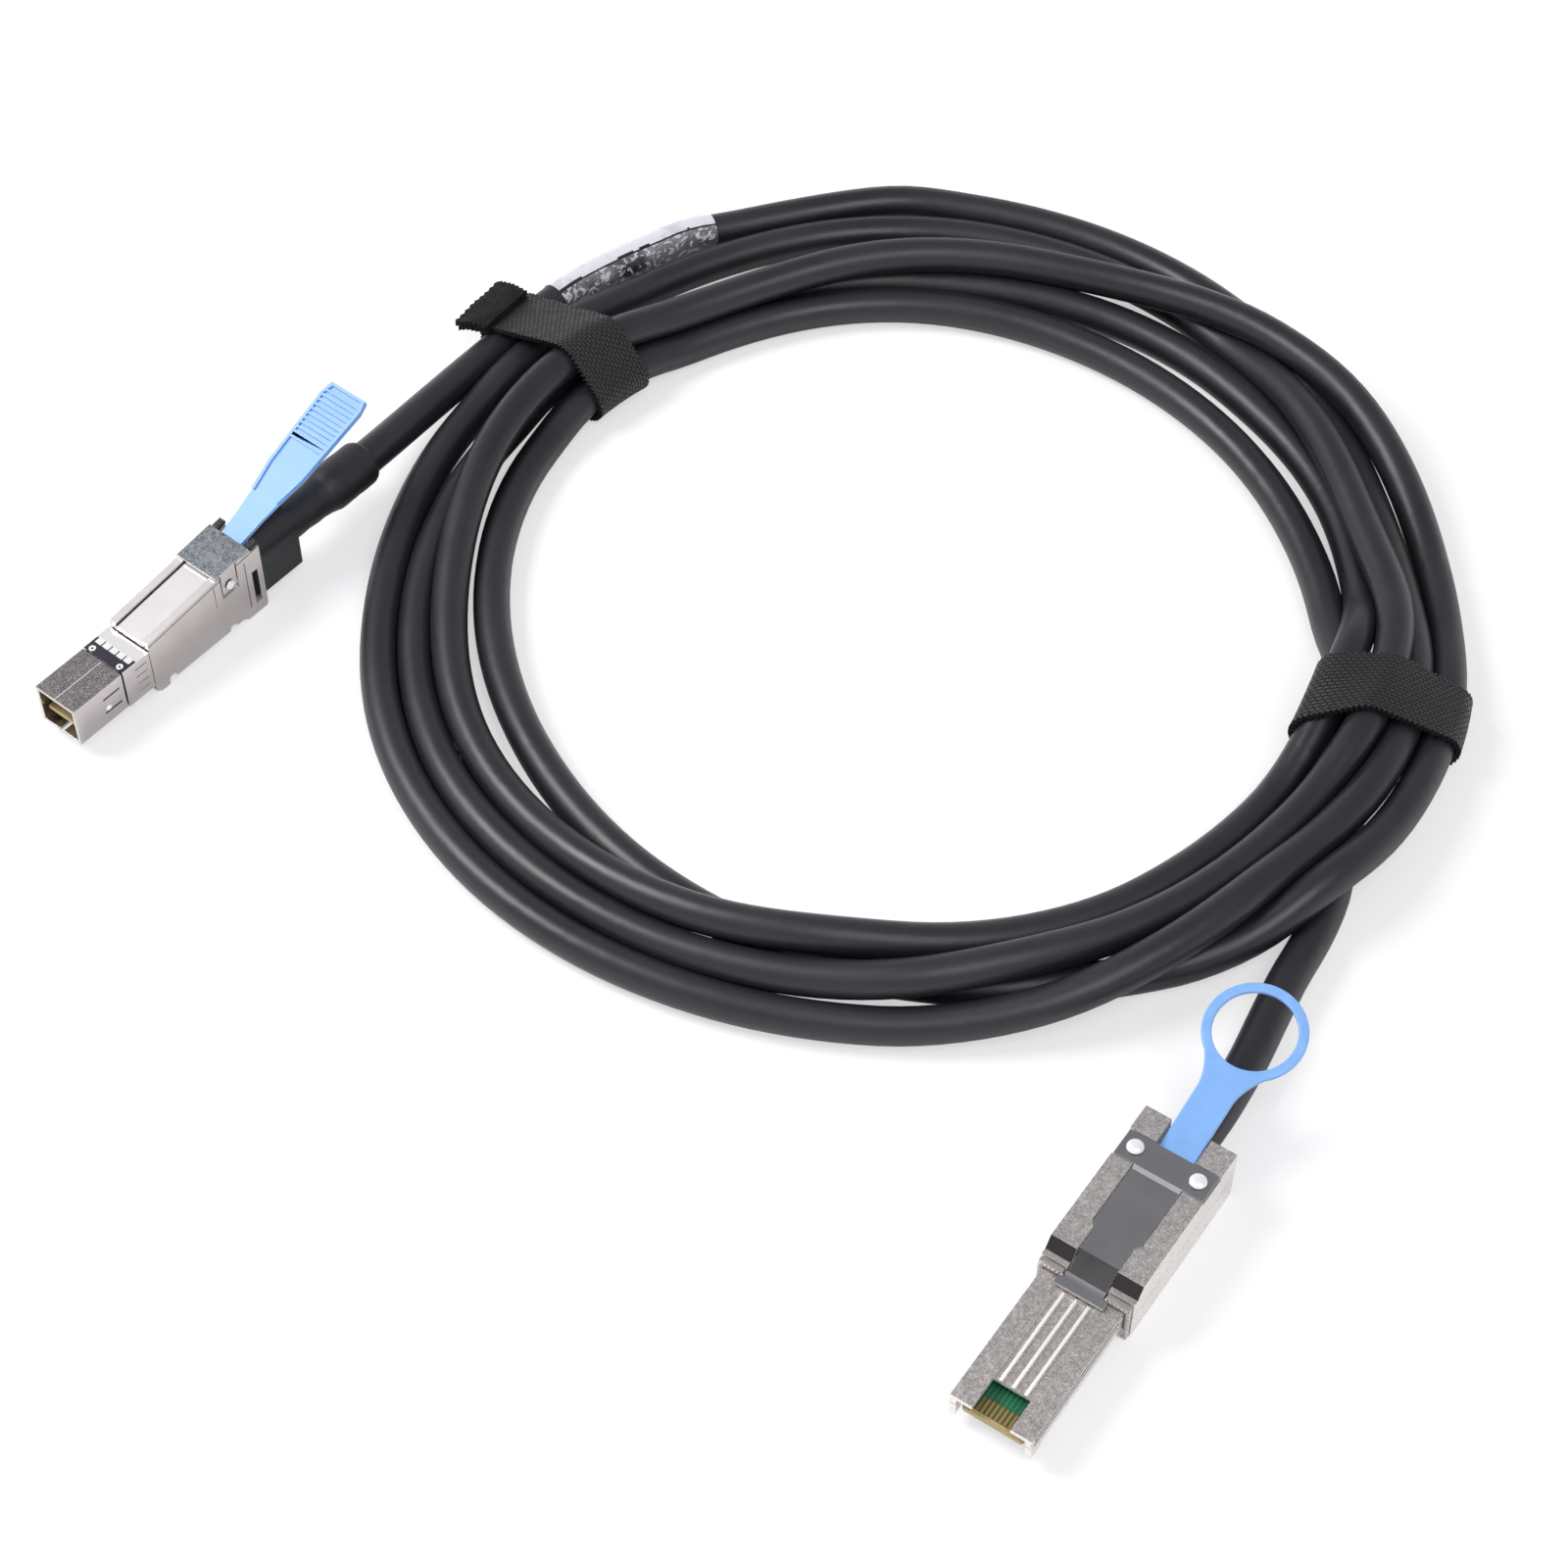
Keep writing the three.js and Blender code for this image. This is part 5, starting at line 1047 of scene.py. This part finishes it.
class CABLE_OT_wide_body(bpy.types.Operator):
    """Make the wide plug's cast halves, screws, gasket and card."""

    bl_idname = "storage_cable.wide_body"
    bl_label = "Wide plug body"

    def execute(self, context):
        plug = settings().plug

        # Upward faces keep the cast grain; the front chamfer faces take the near-black copy as a painted
        # dark reflection, and all other faces take the paler copy as painted light.
        def rule(centre, normal):
            if 37.2 < centre.x < 39.8 and normal.x > 0.3 and centre.z > 8:
                return 2
            return 0 if normal.z > 0.75 and centre.z > 9 else 1

        for half in ("upper", "lower"):
            dressed(f"wide_{half}_cast", f"wide_{half}_housing",
                    ("cast_top", "cast_side", "cast_dark"), plug.edge, 3, rule)
        for side in ("left", "right"):
            dressed(f"wide_screw_{side}", f"wide_housing_screw_{side}", ["bright"],
                    plug.fold)
        for side, y in (("left", NOSE_SIDE_Y), ("right", -NOSE_SIDE_Y)):
            copies_along(f"wide_nose_rails_{side}", block((31.6, 0.16, 0.26), 0.05),
                         [(60.2, y, 7.3), (60.2, y, 9.1)], 2, "latch_dark", "wide")
        # The ridge blocks on the nose top carry a painted highlight.
        copies_along("wide_nose_ridges", block((24.0, 0.7, 0.16), 0.07, 2),
                     [(57.0, -2.9, NOSE_TOP_Z), (57.0, 2.9, NOSE_TOP_Z)], 3, "ridge", "wide")
        dressed("wide_gasket", "wide_shield_gasket", ["seal"], plug.fold)
        bead = bmesh.new()
        bmesh.ops.create_icosphere(bead, subdivisions=2, radius=0.46)
        bmesh.ops.scale(bead, vec=(0.8, 1.0, 1.0), verts=bead.verts)
        copies_along("wide_gasket_beads", bead, gasket_path(GASKET_X), GASKET_BEADS, "seal", "wide")
        board = plug_piece("wide_card_board", slab(wide_card_outline(42.1, 76.4, 7.1, 1.2), 5.6, 6.6),
                           ("board", "tan"), 0.00012,
                           rule=lambda centre, normal: int(centre.x > 75.4 or abs(normal.x) > 0.5))
        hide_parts("wide_paddle_card")
        plug_piece("wide_card_lip", slab(wide_card_outline(75.5, 76.5, 7.15, 0.9), 5.45, 6.8), ["tan"],
                   0.00025)
        span = (plug.pads - 1) * CONTACT_PITCH / 2
        for name, size, x, finish in (("wide_card_contacts", (3.4, 0.62, 0.12), 73.7, "gold"),
                                      ("wide_card_traces", (5.0, 0.45, 0.06), 69.6, "trace")):
            path = [(x, -span, CARD_TOP_Z), (x, span, CARD_TOP_Z)]
            copies_along(name, block(size, 0.02), path, plug.pads, finish, "wide")
        return {"FINISHED"}


class CABLE_OT_wide_latch(bpy.types.Operator):
    """Make the wide plug's latch plate and rivets."""

    bl_idname = "storage_cable.wide_latch"
    bl_label = "Wide plug latch"

    def execute(self, context):
        # The front bend and steep faces of the latch take a painted highlight, and the top faces near
        # its front a painted shadow.
        def rule(centre, normal):
            if 36.7 < centre.x < 41.5 and normal.z > 0.2:
                return 1
            front_bend = 13.0 < centre.x < 18.0 and abs(normal.x) > 0.04
            return 2 if front_bend or abs(normal.z) < 0.5 else 0

        dressed("wide_latch_leaf", "wide_latch_plate",
                ("latch_wide", "latch_dark", "latch_edge"), settings().plug.fold, 2, rule, "wide_latch")
        rivet = [(0, -3.0), (1.2, -3.0), (1.2, 0.0), (1.75, 0.0), (1.9, 0.12), (1.88, 0.3), (1.6, 0.62),
                 (1.1, 0.84), (0.5, 0.93), (0, 0.95)]
        copies_along("wide_rivets", turned(rivet, 36),
                     [(RIVET_X, -RIVET_Y, RIVET_Z), (RIVET_X, RIVET_Y, RIVET_Z)], 2, "bright", "wide",
                     ["wide_latch_rivet_left", "wide_latch_rivet_right"])
        return {"FINISHED"}


def ring_tab_outline():
    """Outline and hole of the wide plug's tab, flat, from its bend backwards."""
    reach, outer, inner, half = 32.3, 11.2, 9.0, 4.2
    flare = math.radians(40)
    start = reach - 13.0 - 4.0
    points = [(0, -half), (start * 0.5, -half), (start, -half)]
    tip = (reach - outer * math.cos(flare), -outer * math.sin(flare))
    for k in range(1, 9):
        t = k / 9
        points.append(tuple((1 - t) ** 2 * a + 2 * t * (1 - t) * b + t * t * c
                            for a, b, c in zip((start, -half), (reach - 13.0, -half), tip)))
    points += [(reach + x, y) for x, y in
               circle(outer, 73, math.pi + flare, 2 * math.pi - 2 * flare, 72)]
    points += [(x, -y) for x, y in reversed(points[:11])]
    return points, [(reach + x, y) for x, y in circle(inner, 72, 0.0, -2 * math.pi)]


def tilted(bm, bend_x, bend_z, tilt):
    """Swings a flat tab, drawn from its bend backwards, up to its tilt."""
    turn = Matrix.Rotation(math.radians(tilt), 4, "Y") @ Matrix.Rotation(math.pi, 4, "Z")
    bm.transform(Matrix.Translation((bend_x, 0, bend_z)) @ turn)
    return bm


class CABLE_OT_tabs(bpy.types.Operator):
    """Make both blue pull tabs."""

    bl_idname = "storage_cable.tabs"
    bl_label = "Pull tabs"

    def execute(self, context):
        outline, hole = ring_tab_outline()
        ring = tilted(slab(outline, 0, TAB_THICKNESS, hole), TAB_BEND_X, TAB_BOTTOM_Z, TAB_TILT)
        ring = plug_piece("wide_tab_ring", ring, ["tab"], 0.00035, 3, body="wide_tab")
        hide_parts("wide_pull_tab")
        root = block((9.7, 8.4, TAB_THICKNESS), 0.3, 3, (10.6, 0, 12.7))
        plug_piece("wide_tab_root", root, ["tab"], body="wide_tab")
        dressed("tall_tab_blade", "tall_pull_tab", ["tab"], 0.00022, 3, body="tall_tab")
        return {"FINISHED"}


# Tall plug

class CABLE_OT_tall_body(bpy.types.Operator):
    """Make the tall plug's housing, latch plate, bracket and grips."""

    bl_idname = "storage_cable.tall_body"
    bl_label = "Tall plug body"

    def execute(self, context):
        fold = settings().plug.fold

        # Upward faces of the housing halves take the paler plated copy: painted light on their tops.
        def top(centre, normal):
            return int(normal.z > 0.6)

        dressed("tall_lower_sheet", "tall_lower_housing", ("plated", "rail"), fold, 2, top)
        dressed("tall_upper_sheet", "tall_upper_housing", ("plated", "rail"), fold, 2, top)
        dressed("tall_latch_leaf", "tall_latch_plate", ["mirror"], fold, body="tall_latch")
        dressed("tall_bracket", "tall_cover_bracket", ("bracket", "plated"), fold, 2,
                lambda centre, normal: int(normal.z <= 0.5))
        for side in ("left", "right"):
            dressed(f"tall_rivet_{side}", f"tall_bracket_rivet_{side}", ["bright"], fold, 3)
            dressed(f"tall_grip_pad_{side}", f"tall_grip_{side}", ["black"], fold)
        dressed("tall_boot_rubber", "tall_boot", ["boot"], 0.0006, 3)
        return {"FINISHED"}


class CABLE_OT_tall_nose(bpy.types.Operator):
    """Make the tall plug's nose, collar and cards."""

    bl_idname = "storage_cable.tall_nose"
    bl_label = "Tall plug nose"

    def execute(self, context):
        fold = settings().plug.fold
        dressed("tall_nose_box", "tall_nose_shell", ("nose_top", "plated"), fold, 2,
                lambda centre, normal: 0 if normal.z > 0.6 and centre.z > 14 else 1)
        # Upward faces of the collar take the pale plated finish: a painted highlight on its top plate.
        dressed("tall_collar", "tall_shield_collar", ("plated", "mirror"), fold, 2,
                lambda centre, normal: int(normal.z > 0.6))
        plug_piece("tall_collar_band", block((4.4, 12.5, 0.1), 0.03, 1, (43.0, 0, 14.93)), ["violet"])
        plug_piece("tall_nose_seam", block((14.7, 0.16, 0.06), 0.02, 1, (52.9, 0, 14.81)), ["bright"])
        washer = [(0, 0), (0.8, 0), (0.85, 0.08), (0.6, 0.16), (0.42, 0.1), (0.36, 0.03), (0, 0.03)]
        hole = [(0, 0), (0.3, 0), (0.3, 0.06), (0, 0.06)]
        square = block((1.7, 1.95, 0.24), 0.05)
        for name, shape, (x, y, z), count, finish in (
                ("tall_collar_rings", turned(washer, 20), (44.1, 4.5, 14.97), 2, "bright"),
                ("tall_collar_holes", turned(hole, 16), (44.1, 4.5, 14.98), 2, "black"),
                ("tall_collar_squares", square, (41.5, 4.6, 15.0), 5, "bright")):
            copies_along(name, shape, [(x, -y, z), (x, y, z)], count, finish, "tall")
        dimple = turned([(0, 0), (0.8, 0), (0.72, 0.12), (0.45, 0.22), (0, 0.26)], 24)
        facing_side = Matrix.Rotation(math.radians(-90), 4, "X")
        dimple.transform(Matrix.Translation((50.6, 6.28, 7.9)) @ facing_side)
        plug_piece("tall_nose_dimple", dimple, ["bright"])
        for node in ("tall_lower_card", "tall_upper_card"):
            dressed(node + "_board", node, ["tan"], fold)
        return {"FINISHED"}


class CABLE_OT_inner(bpy.types.Operator):
    """Finish the pieces inside both plugs."""

    bl_idname = "storage_cable.inner"
    bl_label = "Inner pieces"

    def execute(self, context):
        finishes = {"wide_inner_mould": "black", "tall_inner_mould": "black",
                    "tall_card_holder": "black", "wide_crimp_ferrule": "plated",
                    "tall_crimp_ring": "plated"}
        for number in range(1, 5):
            finishes[f"wide_wire_pair_{number}"] = "foil"
            finishes[f"tall_wire_pair_{number}"] = "foil"
        for node, finish in finishes.items():
            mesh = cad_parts[node].data
            mesh.materials.clear()
            mesh.materials.append(metals()[finish])
        return {"FINISHED"}


# Stage

def lamp(name, spot, aim, power, size):
    data = bpy.data.lights.new(name, "AREA")
    data.energy = power
    data.size = size
    data.shape = "DISK"
    piece = linked(name, data)
    piece.location = spot
    piece.rotation_euler = (Vector(aim) - Vector(spot)).to_track_quat("-Z", "Y").to_euler()


def pale_floor(colour):
    """A pale floor that shows near white to the camera and still takes the object's shadow."""
    f = Finish("floor")
    f.set(Base_Color=f.mix(f.spread(f.noise(60.0, 2.0), 0.3, 0.7), colour, shade(colour, 0.99)),
          Roughness=0.8, Specular_IOR_Level=0.1)
    glow = f.add("ShaderNodeEmission", {"Color": (1, 1, 1), "Strength": 1.0}).outputs[0]
    seen = f.add("ShaderNodeLightPath").outputs["Is Camera Ray"]
    amount = f.add("ShaderNodeMath", {0: seen, 1: 0.55}, operation="MULTIPLY").outputs[0]
    both = f.add("ShaderNodeMixShader", {0: amount, 1: f.shader.outputs[0], 2: glow}).outputs[0]
    f.put(f.tree.nodes["Material Output"].inputs["Surface"], both)
    return f.material


def studio_world():
    """A soft grey room for light and reflections, and plain white past the floor for the camera."""
    world = bpy.data.worlds.new("studio")
    world.use_nodes = True
    nodes = world.node_tree.nodes
    room = nodes["Background"]
    where, split, ramp, half, white, path, both = [nodes.new("ShaderNode" + kind) for kind in (
        "TexCoord", "SeparateXYZ", "ValToRGB", "MapRange", "Background", "LightPath", "MixShader")]
    low, high = ramp.color_ramp.elements
    low.position, low.color = 0.5, (0.95, 0.95, 0.96, 1)
    high.position, high.color = 0.8, (0.34, 0.34, 0.36, 1)
    half.inputs["From Min"].default_value = -1
    room.inputs["Strength"].default_value = 1.2
    white.inputs["Color"].default_value = (1, 1, 1, 1)
    for output, socket in (
            (where.outputs["Generated"], split.inputs[0]), (split.outputs["Z"], half.inputs["Value"]),
            (half.outputs[0], ramp.inputs[0]), (ramp.outputs[0], room.inputs["Color"]),
            (path.outputs["Is Camera Ray"], both.inputs[0]), (room.outputs[0], both.inputs[1]),
            (white.outputs[0], both.inputs[2]),
            (both.outputs[0], nodes["World Output"].inputs["Surface"])):
        world.node_tree.links.new(output, socket)
    bpy.context.scene.world = world


class CABLE_OT_stage(bpy.types.Operator):
    """Make the floor, the lamps and the camera."""

    bl_idname = "storage_cable.stage"
    bl_label = "Floor, lamps and camera"

    def execute(self, context):
        stage = settings().stage
        bm = bmesh.new()
        bmesh.ops.create_grid(bm, x_segments=1, y_segments=1, size=3.0)
        bmesh.ops.translate(bm, vec=(0, 0, -0.0001), verts=bm.verts)
        mesh_object("floor", bm, [pale_floor(stage.floor)])
        lamp("key_lamp", (-0.78, 0.22, 0.95), (0.03, 0.06, 0), stage.key, 0.6)
        lamp("fill_lamp", (0.35, -0.55, 1.15), (0.03, 0.04, 0), stage.fill, 0.8)
        studio_world()
        data = bpy.data.cameras.new("photo_view")
        data.lens = stage.lens
        data.sensor_width = 36.0
        data.sensor_fit = "HORIZONTAL"
        camera = linked("photo_view", data)
        camera.location = (0.031, -0.4422, 0.5916)
        camera.rotation_euler = (math.radians(90 - 50.88), 0, 0)
        context.scene.camera = camera
        context.scene.view_settings.view_transform = "Standard"
        return {"FINISHED"}


OPERATORS = [CABLE_OT_stage, CABLE_OT_cord, CABLE_OT_wide_body, CABLE_OT_wide_latch, CABLE_OT_tabs,
             CABLE_OT_tall_body, CABLE_OT_tall_nose, CABLE_OT_inner]


class CABLE_PT_panel(bpy.types.Panel):
    """Lists the cable's settings and the steps that make it."""

    bl_label = "Storage cable"
    bl_idname = "CABLE_PT_panel"
    bl_space_type = "VIEW_3D"
    bl_region_type = "UI"
    bl_category = "Storage cable"

    def draw(self, context):
        for group in ("cable", "strap", "plug", "stage"):
            box = self.layout.box()
            values = getattr(context.scene.storage_cable, group)
            for key in values.__annotations__:
                box.prop(values, key)
        for operator in OPERATORS:
            self.layout.operator(operator.bl_idname)


CLASSES = [CableSettings, StrapSettings, PlugSettings, StageSettings, CablePanelSettings, *OPERATORS,
           CABLE_PT_panel]


def register():
    for cls in CLASSES:
        bpy.utils.register_class(cls)
    bpy.types.Scene.storage_cable = PointerProperty(type=CablePanelSettings)


def unregister():
    del bpy.types.Scene.storage_cable
    for cls in reversed(CLASSES):
        bpy.utils.unregister_class(cls)


def main():
    register()
    for operator in OPERATORS:
        getattr(bpy.ops.storage_cable, operator.bl_idname.split(".")[1])()


if __name__ == "__main__":
    main()
